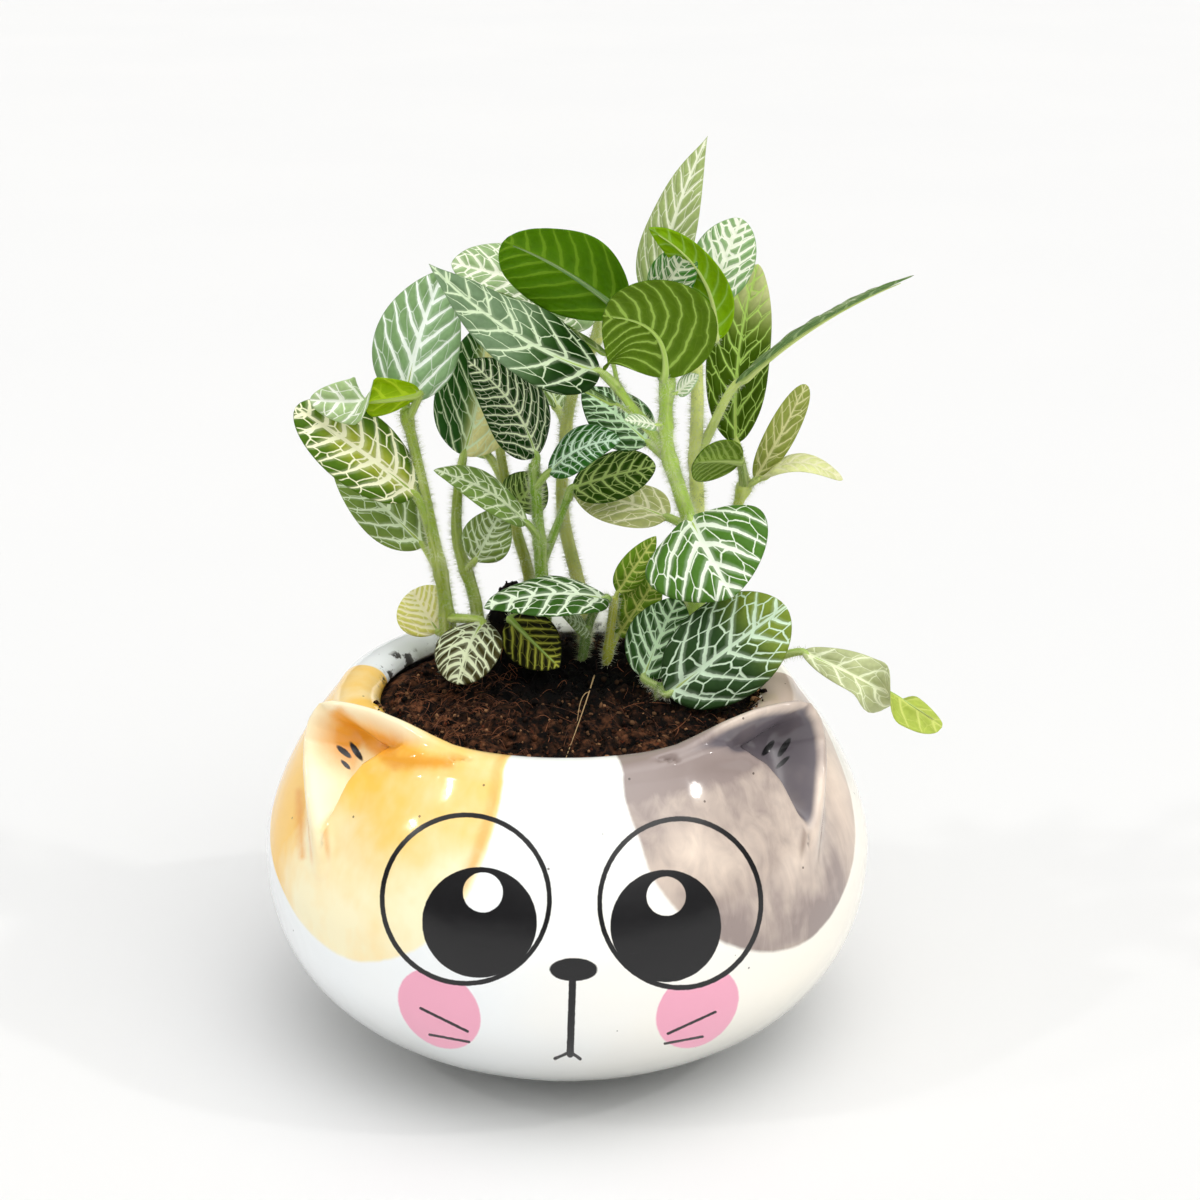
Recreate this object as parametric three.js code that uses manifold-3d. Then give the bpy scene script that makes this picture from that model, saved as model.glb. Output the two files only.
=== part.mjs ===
// A nerve plant in a round glazed pot with a cat's face.
// Millimetres, +Z up. The origin is the centre of the pot's flat base, and the face looks along -Y.
import * as THREE from "three";
import { mergeVertices } from "three/addons/utils/BufferGeometryUtils.js";
import Module from "manifold-3d";

const wasm = await Module();
wasm.setup();

// The pot: a squat round body, widest at WIDEST_Z, drawn in to a rounded lip.
const POT_RADIUS = 60;
const WIDEST_Z = 41;
const LOWER_HEIGHT = 41.2;
const LOWER_POWER = 2.45;
const UPPER_HEIGHT = 56.5;
const UPPER_POWER = 1.6;
const BASE_RADIUS = 24;
const BASE_EDGE_Z = 2;
const WALL = 4.5;
const FLOOR_Z = 6;
const FLOOR_RADIUS = 28;
const LIP = { radius: 41.2, z: 69.6, across: 4.6, up: 3.6, angles: [30, 50, 71, 95, 122, 150, 180] };
const SHOULDER_END_Z = 70.9;
const OUTER_ROWS = [
  BASE_EDGE_Z, 5, 10, 17, 25, 33, WIDEST_Z, 47, 51, 54.5, 57.5, 60, 62.5, 65, 67, 68.7, 70.1,
];
const INNER_ROWS = [68, 58, 44, 28, 15, 7];

// The ears: a ridge raised from the rim and the shoulder, a low brow in front of it, and between the two a
// hollow that faces forward. The lean is how far a point of them moves outward for each 1 mm it rises.
const EAR_RIDGE = [
  { azimuth: 20, z: 73, height: 0.2, lean: 0 },
  { azimuth: 30, z: 73, height: 1.2, lean: 0 },
  { azimuth: 36.5, z: 73, height: 2.5, lean: 0.05 },
  { azimuth: 41.5, z: 73, height: 3.5, lean: 0.15 },
  { azimuth: 47, z: 73, height: 4.8, lean: 0.4 },
  { azimuth: 51.5, z: 73, height: 6.2, lean: 0.65 },
  { azimuth: 56, z: 72.6, height: 7.6, lean: 0.8 },
  { azimuth: 60, z: 72, height: 8.6, lean: 0.95 },
  { azimuth: 63.5, z: 71, height: 8.6, lean: 1.15 },
  { azimuth: 65.2, z: 68.6, height: 7.5, lean: 1.15 },
  { azimuth: 65, z: 66, height: 6.3, lean: 1.1 },
  { azimuth: 61.8, z: 62.5, height: 5, lean: 1.1 },
  { azimuth: 57.3, z: 58.3, height: 3.6, lean: 1.1 },
  { azimuth: 53.5, z: 54, height: 2, lean: 1.1 },
  { azimuth: 51, z: 50, height: 0.3, lean: 1.1 },
];
const EAR_RIDGE_WIDTH = 3;
const EAR_BROW = [
  { azimuth: 29, z: 71.8, height: 0, lean: 1.1 },
  { azimuth: 34, z: 71.6, height: 0.7, lean: 1.1 },
  { azimuth: 41, z: 70.7, height: 1.2, lean: 1.1 },
  { azimuth: 46, z: 69.4, height: 1.4, lean: 1.1 },
  { azimuth: 49.3, z: 67.2, height: 1.4, lean: 1.1 },
  { azimuth: 51, z: 64, height: 1.3, lean: 1.1 },
  { azimuth: 51.6, z: 59.8, height: 0.9, lean: 1.1 },
  { azimuth: 52, z: 55.5, height: 0.2, lean: 1.1 },
];
const EAR_BROW_WIDTH = 2.4;
const EAR_HOLLOW = { depth: 4, bank: 1.4, besideRidge: [0.4, 4.2] };
const EAR_WHOLE_LIP_ROWS = 3;
const EAR_FADE_ROWS = 2;
// Azimuths of the right half's columns. Between GATHER_FROM and GATHER_TO they are gathered so that one
// runs up the brow and one up the ridge, as pairs of height and azimuth.
const RIGHT_COLUMNS = [
  9, 17, 24, 30, 35, 39.5, 43.5, 47, 50, 52.8, 55.6, 58.4, 61.2, 64, 66.5, 69.5, 74, 80, 90, 102, 116, 132,
  148, 164,
];
const GATHER_FROM = 20;
const GATHER_TO = 90;
const BROW_COLUMN = {
  azimuth: 50,
  path: [
    [41, 50], [47, 50], [51, 50.6], [55.5, 51.8], [59.8, 51.6], [64, 51], [67.2, 49.3], [69.4, 46],
    [70.7, 41], [71.6, 36], [73.2, 34],
  ],
};
const RIDGE_COLUMN = {
  azimuth: 64,
  path: [
    [41, 64], [47, 58], [51, 54.3], [54, 54.6], [58.3, 57.6], [62.5, 61.8], [66, 65], [68.6, 65.2],
    [71, 63.5], [73.2, 61.5],
  ],
};

// The soil fills the pot to just under the lip and is heaped round the stems.
const SOIL_GAP = 0.35;
const SOIL_EDGE_RADIUS = 36;
const SOIL_EDGE_Z = 68.8;
const SOIL_RISE = 1;
const SOIL_RINGS = [SOIL_EDGE_RADIUS, 31, 25, 19, 12, 6, 0];
const SOIL_RIPPLE = { broad: 0.7, fine: 0.4 };
const SOIL_MOUNDS = [
  { x: -12, y: 22, height: 20, width: 7.5 },
  { x: 20, y: 20, height: 5, width: 14 },
  { x: 30, y: -2, height: 3, width: 9 },
  { x: -2, y: -12, height: 1.5, width: 16 },
];
const FOOT_Z = 60;
const HOLE = { clearance: 0.8, under: 0.4, height: 50, sides: 10 };

// Leaves are thin arched blades on round petioles. A leaf that states no value of its own has the usual
// one.
const BLADE_THICKNESS = 0.7;
const BLADE_ROWS = { length: 4.5, least: 4, most: 7 };
const BLADE_COLUMNS = 4;
const BLADE_END_HALF_WIDTH = 0.45;
const BLADE_RISE = 0.55;
const USUAL = { arch: 0.05, bow: 0, twist: 0, turn: [0, 1], fold: 6, curl: -0.35, blunt: 0.8 };
const PETIOLE_RADIUS = 0.95;
const STEM_SIDES = 6;
const STEM_STEP = 6.5;
const SINK = 0.12;
const MERGE_DISTANCE = 1e-4;

// Each shoot has its stems, as radius and path, and its leaves. A leaf's petiole leaves its stem at from,
// and the blade runs from base to tip. Its upper face looks along face; arch and bow bend it up and aside,
// and it twists between the two shares of its length that turn names.
const SHOOTS = [
  {
    name: "left_shoot",
    colour: 0x4f7f3a,
    stems: [
      {
        radius: 1.7,
        path: [
          [-24, 12, FOOT_Z], [-24, 12, 78], [-24.5, 10, 88], [-26, 6, 100], [-28, 4, 113],
          [-30.5, 2, 127],
        ],
      },
    ],
    leaves: [
      {
        from: [-30, 2, 125], base: [-30.5, 3.5, 128], tip: [-23, 11, 152],
        width: 16.5, face: [0.1, -1, 0.2], fold: 8, bow: -0.04,
      },
      {
        from: [-30, 2, 125], base: [-27.5, 1, 130.5], tip: [-47.5, -6, 131],
        width: 11, face: [0.1, 0.95, 0.4], arch: -0.06, twist: -150, turn: [0.42, 0.66], blunt: 0.6,
        fold: 20,
      },
      {
        from: [-25, 8, 95], base: [-29, 3, 110], tip: [-50.5, -4, 129],
        width: 14.5, face: [0.1, -0.85, 0.5], fold: 10, arch: 0.08, blunt: 0.55,
      },
      {
        from: [-25, 9, 92], base: [-28, 8, 98], tip: [-46, 13, 115],
        width: 12, face: [-0.1, -0.9, 0.3], fold: 8,
      },
      {
        from: [-24, 11, 82], base: [-16.5, 4, 83.5], tip: [-21, -8, 75],
        width: 13.5, face: [-0.2, -0.6, 0.75], arch: 0.12, blunt: 0.5,
      },
      {
        from: [-24, 12, 79], base: [-26, 13.5, 78], tip: [-31.5, 16, 86],
        width: 12, face: [0.1, -0.9, 0.4], blunt: 0.5,
      },
    ],
  },
  {
    name: "left_inner_shoot",
    colour: 0x466f34,
    stems: [
      {
        radius: 1.5,
        path: [
          [-18.5, 17, FOOT_Z], [-18.5, 17, 82], [-22, 17, 96], [-22, 17, 104],
          [-21, 16, 112],
        ],
      },
    ],
    leaves: [
      {
        from: [-21.2, 16, 110], base: [-20.5, 16.5, 114], tip: [-16, 22, 140],
        width: 17, face: [0, -1, 0.2], fold: 12, bow: 0.04,
      },
      {
        from: [-20.5, 17, 90], base: [-18.5, 14, 93], tip: [-12.5, 11, 105],
        width: 10, face: [0.1, -0.95, 0.3],
      },
    ],
  },
  {
    name: "rear_left_shoot",
    colour: 0x55742f,
    stems: [
      {
        radius: 1.4,
        path: [
          [-8, 28, FOOT_Z], [-8, 28, 84], [-10.5, 26.5, 95], [-12.5, 26, 105],
          [-14.5, 25, 119], [-15.5, 25, 126],
        ],
      },
    ],
    leaves: [
      {
        from: [-15, 25, 123], base: [-14.5, 26.5, 127], tip: [-9.5, 31, 141],
        width: 12, face: [0, -1, 0.3],
      },
      {
        from: [-11.5, 26, 99], base: [-11, 24.5, 101], tip: [-5, 21, 109],
        width: 10, face: [0, -1, 0.2],
      },
      {
        from: [-12.5, 26, 105], base: [-16, 30, 110], tip: [-26, 36, 124],
        width: 14, face: [0.2, 0.6, 0.7],
      },
    ],
  },
  {
    name: "centre_left_shoot",
    colour: 0x2f6335,
    stems: [
      {
        radius: 1.7,
        path: [
          [-5, 19, FOOT_Z], [-5, 19, 80], [-5.5, 18, 93], [-6, 16, 103], [-6.5, 13.5, 113],
        ],
      },
      {
        radius: 1.1,
        path: [
          [-5.3, 18.5, 91], [-2.5, 20, 97.5], [0.5, 20, 105.5],
        ],
      },
    ],
    leaves: [
      {
        from: [-6.5, 14, 112], base: [-6, 12.5, 115], tip: [-18.5, 2, 136.5],
        width: 14, face: [0.3, -0.85, 0.45], fold: 10, bow: 0.06,
      },
      {
        from: [-6.3, 14.5, 108], base: [-3.5, 11.5, 112], tip: [10.5, 2, 121],
        width: 9.5, face: [0, -0.75, 0.65], fold: 8, bow: -0.08,
      },
      {
        from: [0, 20, 104], base: [1, 19.5, 106.5], tip: [17.5, 14, 112.5],
        width: 11, face: [0, -0.75, 0.65], blunt: 0.6,
      },
      {
        from: [-5.5, 17.5, 96], base: [-8, 13.5, 101], tip: [-25.5, 4, 114.5],
        width: 9, face: [0.1, -0.6, 0.8], arch: 0.06, bow: 0.04,
      },
      {
        from: [-5, 19, 80], base: [-11.5, 10, 82], tip: [-1.5, 0, 75.5],
        width: 11, face: [0, 0.85, -0.5],
      },
    ],
  },
  {
    name: "rear_centre_shoot",
    colour: 0x6f8f3c,
    stems: [
      {
        radius: 1.6,
        path: [
          [3, 28, FOOT_Z], [3, 28, 78], [-1, 27.5, 98], [-1, 26.5, 110], [1, 25, 124],
          [6, 21, 137],
        ],
      },
    ],
    leaves: [
      {
        from: [5.5, 21.5, 136], base: [6, 18, 142], tip: [-21.5, 7, 154],
        width: 17, face: [0, -0.75, 0.65], fold: 8, arch: 0.08, blunt: 0.65,
      },
      {
        from: [5.5, 21.5, 136], base: [9, 24, 138], tip: [22, 35, 146],
        width: 14, face: [0, 0.4, 0.9],
      },
      {
        from: [0, 26, 117], base: [-2, 30, 120], tip: [-8, 42, 130],
        width: 13, face: [0, 0.5, 0.85],
      },
    ],
  },
  {
    name: "main_shoot",
    colour: 0x3d7038,
    stems: [
      {
        radius: 2,
        path: [
          [25, 9.5, FOOT_Z], [25, 9.5, 77], [26, 11, 91.5], [24.5, 9.5, 101],
          [22, 7, 109.5], [19.5, 4, 118.5], [19, 2, 127], [19.3, 0, 134],
        ],
      },
      {
        radius: 1.2,
        path: [
          [19.7, 4.5, 118], [14, 3, 125.5], [9.5, 2.5, 131.5],
        ],
      },
    ],
    leaves: [
      {
        from: [19.3, 0, 133], base: [18.5, -1.5, 134], tip: [7, -9, 147.5],
        width: 24, face: [0, 0.95, 0.3], bow: -0.24, fold: 4, blunt: 0.45,
      },
      {
        from: [10, 2.5, 131], base: [6.5, 1.5, 134.5], tip: [-24.5, -9, 157],
        width: 15, face: [0.2, -0.75, 0.6], fold: 10, blunt: 1, bow: -0.1,
      },
      {
        from: [10, 3, 131], base: [8.3, 4.6, 137], tip: [-12.5, 1.5, 149.8],
        width: 5, face: [0, 0.3, 0.95], arch: 0.02,
      },
      {
        from: [15, 3.5, 124], base: [9.5, 2.8, 128], tip: [-6.5, -1, 136],
        width: 4.5, face: [0, 0.4, 0.9], arch: 0.02,
      },
      {
        from: [19.3, 0.5, 132], base: [11, 3, 145.5], tip: [-11, -5, 160.5],
        width: 19, face: [-0.2, 0.8, 0.6], blunt: 0.55, arch: 0.08,
      },
      {
        from: [24.5, 9.5, 101], base: [20, 14, 102], tip: [1, 26, 104],
        width: 13, face: [0, -0.5, 0.85],
      },
      {
        from: [20, 5, 116], base: [16, 11, 118], tip: [3, 16, 127.5],
        width: 13, face: [0, -0.6, 0.8],
      },
      {
        from: [19, 2.5, 124], base: [17, 0, 124.5], tip: [11, -6, 127],
        width: 4.5, face: [0, -0.6, 0.8],
      },
      {
        from: [19, 1, 130], base: [21, -1, 131], tip: [25, -3, 135],
        width: 4.5, face: [0, -0.6, 0.8],
      },
      {
        from: [25, 10, 99], base: [24, 3.5, 105], tip: [31.5, -13, 94.5],
        width: 25.5, face: [-0.4, -0.5, 0.8], arch: 0.14, blunt: 0.65,
      },
    ],
  },
  {
    name: "upper_right_shoot",
    colour: 0x5f8f3f,
    stems: [
      {
        radius: 1.8,
        path: [
          [24.5, 20, FOOT_Z], [24.5, 20, 78], [26, 20, 100], [25.5, 18, 112.5],
          [25.5, 15, 125.5], [25, 12, 138.5], [25.5, 10, 146],
        ],
      },
    ],
    leaves: [
      {
        from: [25, 11.5, 140], base: [16.5, 14, 145], tip: [27, 20, 176],
        width: 10.5, face: [-0.3, -0.9, 0.2], blunt: 1.1, bow: -0.02,
      },
      {
        from: [25, 12, 139], base: [28.5, 5, 140], tip: [15.5, 0, 162],
        width: 9, face: [0.2, 0.7, 0.5], bow: -0.15, blunt: 0.7,
      },
      {
        from: [25.5, 10.5, 144], base: [17, 5, 147], tip: [24, 1, 159],
        width: 9, face: [0, -0.9, 0.4],
      },
      {
        from: [25.5, 10.5, 144], base: [27, 13, 145.5], tip: [33.5, 16, 161],
        width: 12, face: [-0.1, -1, 0.2], blunt: 0.6,
      },
      {
        from: [25.7, 17.5, 113], base: [33, 14.5, 129], tip: [65.5, 6, 152],
        width: 11, face: [-0.5, 0.25, 0.95], fold: 14, blunt: 1,
      },
    ],
  },
  {
    name: "right_shoot",
    colour: 0x6a8a3c,
    stems: [
      {
        radius: 1.5,
        path: [
          [30.5, 13.5, FOOT_Z], [30.5, 13.5, 77], [33, 15, 92], [33.5, 14.5, 103],
          [35.5, 14, 110],
        ],
      },
    ],
    leaves: [
      {
        from: [35.3, 14, 109], base: [33.5, 18.5, 116], tip: [37.5, 25, 150.5],
        width: 12.5, face: [0, -1, 0.2], blunt: 0.65, fold: 10, bow: -0.05,
      },
      {
        from: [34.5, 14.5, 107], base: [37, 12.5, 110.5], tip: [46, 8, 130.5],
        width: 6.2, face: [0.3, -0.6, 0.5], blunt: 0.5,
      },
      {
        from: [35, 14, 108], base: [34, 10.5, 114.5], tip: [24.5, 3, 116.5],
        width: 11, face: [0, 0.95, 0.3], blunt: 0.5,
      },
      {
        from: [35, 14, 108], base: [38, 12, 110.5], tip: [53.5, 6, 112],
        width: 7, face: [0, -0.3, 1], arch: 0.24, blunt: 0.6,
      },
    ],
  },
  {
    name: "front_right_sprig",
    colour: 0x2c5f3c,
    stems: [
      {
        radius: 1.3,
        path: [
          [18, -5, FOOT_Z], [18, -5, 71], [18.5, -5.5, 74],
        ],
      },
    ],
    leaves: [
      {
        from: [18.4, -5.4, 73], base: [19.5, -9.5, 73.5], tip: [42, -8, 91],
        width: 19.5, face: [-0.2, -0.9, 0.35], fold: 8, blunt: 0.55,
      },
      {
        from: [18.4, -5.4, 73], base: [15, -3, 74.5], tip: [22, 4, 89],
        width: 14, face: [-0.4, -0.8, 0.3],
      },
    ],
  },
  {
    name: "young_sprig",
    colour: 0x8a9a30,
    stems: [
      {
        radius: 1.2,
        path: [
          [8, 13, FOOT_Z], [8, 13, 72], [9, 12.5, 82], [9.5, 12, 86],
        ],
      },
    ],
    leaves: [
      {
        from: [9.3, 12.2, 84], base: [10, 12, 87], tip: [17.5, 8, 100],
        width: 6, face: [0, -0.9, 0.4],
      },
      {
        from: [8.2, 13, 74], base: [10, 14, 77], tip: [18.5, 12, 91],
        width: 9, face: [0, -0.95, 0.3],
      },
    ],
  },
  {
    name: "centre_sprig",
    colour: 0x2f6a3a,
    stems: [
      {
        radius: 1.2,
        path: [
          [3, 15, FOOT_Z], [3, 15, 72], [5, 12.5, 82], [8, 9.5, 87],
        ],
      },
    ],
    leaves: [
      {
        from: [7, 10.5, 85.5], base: [8, 8, 87], tip: [-16, -2, 88.5],
        width: 15, face: [0, -0.25, 1], arch: 0.08,
      },
      {
        from: [3.3, 14.7, 76], base: [4, 12, 79.5], tip: [-1, 6.5, 84],
        width: 8, face: [0, -0.6, 0.8],
      },
    ],
  },
  {
    name: "trailing_sprig",
    colour: 0x7f9f4a,
    stems: [
      {
        radius: 1.2,
        path: [
          [32.5, 2, FOOT_Z], [32.5, 2, 71], [36, 1.5, 75.5], [41, 0, 77.5],
        ],
      },
    ],
    leaves: [
      {
        from: [40, 0.4, 77.2], base: [46, -2, 79.5], tip: [72, -14, 68.5],
        width: 10, face: [0, -0.6, 0.8], twist: 165, turn: [0.42, 0.78], blunt: 0.4,
        fold: 26,
      },
    ],
  },
];

function material(name, colour, roughness) {
  return new THREE.MeshStandardMaterial({ name, color: colour, roughness, metalness: 0 });
}

function closedGeometry(positions, triangles) {
  const geometry = new THREE.BufferGeometry();
  geometry.setAttribute("position", new THREE.Float32BufferAttribute(positions, 3));
  geometry.setIndex(triangles);
  return geometry;
}

function toManifold(geometry) {
  const bare = geometry.clone();
  bare.deleteAttribute("normal");
  bare.deleteAttribute("uv");
  const merged = mergeVertices(bare, MERGE_DISTANCE);
  const mesh = new wasm.Mesh({
    numProp: 3,
    vertProperties: new Float32Array(merged.attributes.position.array),
    triVerts: new Uint32Array(merged.index.array),
  });
  return new wasm.Manifold(mesh);
}

function fromManifold(solid) {
  const mesh = solid.getMesh();
  const positions = [];
  for (let i = 0; i < mesh.vertProperties.length; i += mesh.numProp) {
    positions.push(mesh.vertProperties[i], mesh.vertProperties[i + 1], mesh.vertProperties[i + 2]);
  }
  return closedGeometry(positions, Array.from(mesh.triVerts));
}

// Keeps the largest of the loose bodies that a union can leave.
function largestBody(solid) {
  const bodies = solid.decompose();
  return bodies.reduce((best, body) => (body.volume() > best.volume() ? body : best));
}

// The radius of the pot's outer face at a height.
function outerRadius(z) {
  const above = z > WIDEST_Z;
  const reach = above ? (z - WIDEST_Z) / UPPER_HEIGHT : (WIDEST_Z - z) / LOWER_HEIGHT;
  const power = above ? UPPER_POWER : LOWER_POWER;
  return POT_RADIUS * (1 - reach ** power) ** (1 / power);
}

// The point at a depth under the outer face, measured square to it.
function underOuterFace(z, depth) {
  const step = 0.5;
  const slope = (outerRadius(z + step) - outerRadius(z - step)) / (2 * step);
  const length = Math.hypot(1, slope);
  return new THREE.Vector2(outerRadius(z) - depth / length, z + (depth * slope) / length);
}

function outerProfile() {
  const points = [new THREE.Vector2(0, 0), new THREE.Vector2(BASE_RADIUS, 0)];
  for (const z of OUTER_ROWS) {
    points.push(new THREE.Vector2(outerRadius(z), z));
  }
  return points;
}

function lipProfile() {
  const points = [];
  for (const degrees of LIP.angles) {
    const angle = THREE.MathUtils.degToRad(degrees);
    const radius = LIP.radius + LIP.across * Math.cos(angle);
    points.push(new THREE.Vector2(radius, LIP.z + LIP.up * Math.sin(angle)));
  }
  return points;
}

// The inside of the pot, or the side of the soil where the depth is a little more than the wall.
function innerProfile(depth, floor) {
  const points = [];
  for (const z of INNER_ROWS) {
    points.push(underOuterFace(z, depth));
  }
  points.push(new THREE.Vector2(FLOOR_RADIUS, floor), new THREE.Vector2(0, floor));
  return points;
}

// A point of the pot's outer face, or of the lip's outer half above SHOULDER_END_Z.
function onPot(azimuth, z) {
  const angle = THREE.MathUtils.degToRad(azimuth);
  const lipShare = Math.sqrt(1 - Math.min(1, Math.abs(z - LIP.z) / LIP.up) ** 2);
  const radius = z < SHOULDER_END_Z ? outerRadius(z) : LIP.radius + LIP.across * lipShare;
  return new THREE.Vector3(Math.sin(angle) * radius, -Math.cos(angle) * radius, z);
}

// How far a line of the ear is from a point of the pot, and the line's height and lean where it is nearest.
function beside(line, point) {
  let nearest = { away: Infinity };
  for (let i = 0; i + 1 < line.length; i += 1) {
    const a = line[i];
    const b = line[i + 1];
    const stretch = new THREE.Line3(onPot(a.azimuth, a.z), onPot(b.azimuth, b.z));
    const along = stretch.closestPointToPointParameter(point, true);
    const away = stretch.at(along, new THREE.Vector3()).distanceTo(point);
    if (away < nearest.away) {
      const { lerp } = THREE.MathUtils;
      nearest = { away, height: lerp(a.height, b.height, along), lean: lerp(a.lean, b.lean, along) };
    }
  }
  return nearest;
}

function rise(outward, { away, height, lean }, width) {
  const lift = height * Math.exp(-((away / width) ** 2));
  return outward.clone().multiplyScalar(lean).setZ(1).setLength(lift);
}

// Whether a point of the pot lies between the brow and the ridge.
function isInHollow(point) {
  const azimuth = THREE.MathUtils.radToDeg(Math.atan2(point.x, -point.y));
  const outline = [...EAR_BROW, ...[...EAR_RIDGE].reverse()];
  let inside = false;
  outline.forEach((a, i) => {
    const b = outline[(i + 1) % outline.length];
    const crossing = a.azimuth + ((point.z - a.z) / (b.z - a.z)) * (b.azimuth - a.azimuth);
    if (a.z > point.z !== b.z > point.z && azimuth < crossing) {
      inside = !inside;
    }
  });
  return inside;
}

// How the ears move a point of the pot. The two are mirror images.
function earRelief(point) {
  const here = new THREE.Vector3(Math.abs(point.x), point.y, point.z);
  const outward = new THREE.Vector3(here.x, here.y, 0).normalize();
  const ridge = beside(EAR_RIDGE, here);
  const brow = beside(EAR_BROW, here);
  const relief = rise(outward, ridge, EAR_RIDGE_WIDTH).add(rise(outward, brow, EAR_BROW_WIDTH));
  if (isInHollow(here)) {
    const brink = 1 - Math.exp(-brow.away / EAR_HOLLOW.bank);
    const foot = THREE.MathUtils.smoothstep(ridge.away, ...EAR_HOLLOW.besideRidge);
    relief.addScaledVector(outward, -EAR_HOLLOW.depth * brink * foot);
  }
  relief.x *= Math.sign(point.x);
  return relief;
}

function potAzimuths() {
  const left = RIGHT_COLUMNS.map((azimuth) => 360 - azimuth).reverse();
  return [0, ...RIGHT_COLUMNS, 180, ...left];
}

// The value at x of a line of points, straight between each two and level beyond the ends.
function between(points, x) {
  const i = points.findIndex(([at]) => at > x);
  if (i <= 0) {
    return points[i === 0 ? 0 : points.length - 1][1];
  }
  const [[x0, y0], [x1, y1]] = [points[i - 1], points[i]];
  return THREE.MathUtils.mapLinear(x, x0, x1, y0, y1);
}

// Where a column of the pot's outer face stands at a height.
function gathered(azimuth, z) {
  const isLeft = azimuth > 180;
  const stops = [
    [GATHER_FROM, GATHER_FROM],
    [BROW_COLUMN.azimuth, between(BROW_COLUMN.path, z)],
    [RIDGE_COLUMN.azimuth, between(RIDGE_COLUMN.path, z)],
    [GATHER_TO, GATHER_TO],
  ];
  const fromFront = isLeft ? 360 - azimuth : azimuth;
  if (fromFront <= GATHER_FROM || fromFront >= GATHER_TO) {
    return azimuth;
  }
  const turned = between(stops, fromFront);
  return isLeft ? 360 - turned : turned;
}

// A closed skin spun from a profile that starts and ends on the axis. One function turns its columns and
// another moves its points.
function spin(profile, azimuths, move, turn = (azimuth) => azimuth) {
  const positions = [];
  const triangles = [];
  const rows = profile.length - 2;
  const columns = azimuths.length;
  positions.push(0, 0, profile[0].y);
  for (let row = 0; row < rows; row += 1) {
    for (const azimuth of azimuths) {
      const { x: radius, y: z } = profile[row + 1];
      const angle = THREE.MathUtils.degToRad(turn(azimuth, z, row + 1));
      const place = new THREE.Vector3(Math.sin(angle) * radius, -Math.cos(angle) * radius, z);
      const point = move(place, row + 1);
      positions.push(point.x, point.y, point.z);
    }
  }
  positions.push(0, 0, profile[rows + 1].y);
  const last = positions.length / 3 - 1;
  for (let column = 0; column < columns; column += 1) {
    const next = (column + 1) % columns;
    triangles.push(0, 1 + next, 1 + column);
    for (let row = 0; row + 1 < rows; row += 1) {
      const low = 1 + row * columns;
      const high = low + columns;
      if (azimuths[column] < 180) {
        triangles.push(low + column, low + next, high + column);
        triangles.push(low + next, high + next, high + column);
      } else {
        triangles.push(low + column, low + next, high + next);
        triangles.push(low + column, high + next, high + column);
      }
    }
    const top = 1 + (rows - 1) * columns;
    triangles.push(last, top + column, top + next);
  }
  return closedGeometry(positions, triangles);
}

function potGeometry() {
  const outer = outerProfile();
  const lipTop = outer.length + EAR_WHOLE_LIP_ROWS;
  const profile = [...outer, ...lipProfile(), ...innerProfile(WALL, FLOOR_Z)];
  const share = (row) => THREE.MathUtils.clamp((lipTop + EAR_FADE_ROWS - row) / EAR_FADE_ROWS, 0, 1);
  const move = (point, row) => point.addScaledVector(earRelief(point), share(row));
  const turn = (azimuth, z, row) => THREE.MathUtils.lerp(azimuth, gathered(azimuth, z), share(row));
  return spin(profile, potAzimuths(), move, turn);
}

function soilHeight(x, y) {
  const radius = Math.hypot(x, y) / SOIL_EDGE_RADIUS;
  const inside = Math.max(0, 1 - radius ** 4);
  let height = SOIL_RISE;
  for (const mound of SOIL_MOUNDS) {
    const away = Math.hypot(x - mound.x, y - mound.y) / mound.width;
    height += mound.height * Math.exp(-away * away);
  }
  const broad = SOIL_RIPPLE.broad * Math.sin(x * 0.55 + 1) * Math.cos(y * 0.6);
  const fine = SOIL_RIPPLE.fine * Math.sin(x * 1.1 - y * 0.9);
  return SOIL_EDGE_Z + inside * (height + broad + fine);
}

function soilGeometry() {
  const side = innerProfile(WALL + SOIL_GAP, FLOOR_Z + SOIL_GAP).reverse();
  const profile = [...side];
  for (const radius of SOIL_RINGS) {
    profile.push(new THREE.Vector2(radius, SOIL_EDGE_Z));
  }
  const move = (point, row) => {
    if (row >= side.length) {
      point.z = soilHeight(point.x, point.y);
    }
    return point;
  };
  return spin(profile, potAzimuths(), move);
}

function holeGeometry(stem) {
  const [x, y, foot] = stem.path[0];
  const radius = stem.radius + HOLE.clearance;
  const geometry = new THREE.CylinderGeometry(radius, radius, HOLE.height, HOLE.sides);
  geometry.rotateX(Math.PI / 2);
  geometry.translate(x, y, foot - HOLE.under + HOLE.height / 2);
  return geometry;
}

function tubeGeometry(path, radius) {
  const curve = new THREE.CatmullRomCurve3(path.map((p) => new THREE.Vector3(...p)), false, "centripetal");
  const section = new THREE.Shape();
  for (let i = 0; i < STEM_SIDES; i += 1) {
    const angle = (i / STEM_SIDES) * Math.PI * 2;
    const point = new THREE.Vector2(Math.cos(angle) * radius, Math.sin(angle) * radius);
    if (i === 0) {
      section.moveTo(point.x, point.y);
    } else {
      section.lineTo(point.x, point.y);
    }
  }
  section.closePath();
  const steps = Math.max(2, Math.round(curve.getLength() / STEM_STEP));
  return new THREE.ExtrudeGeometry(section, { steps, extrudePath: curve, curveSegments: 1 });
}

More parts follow.
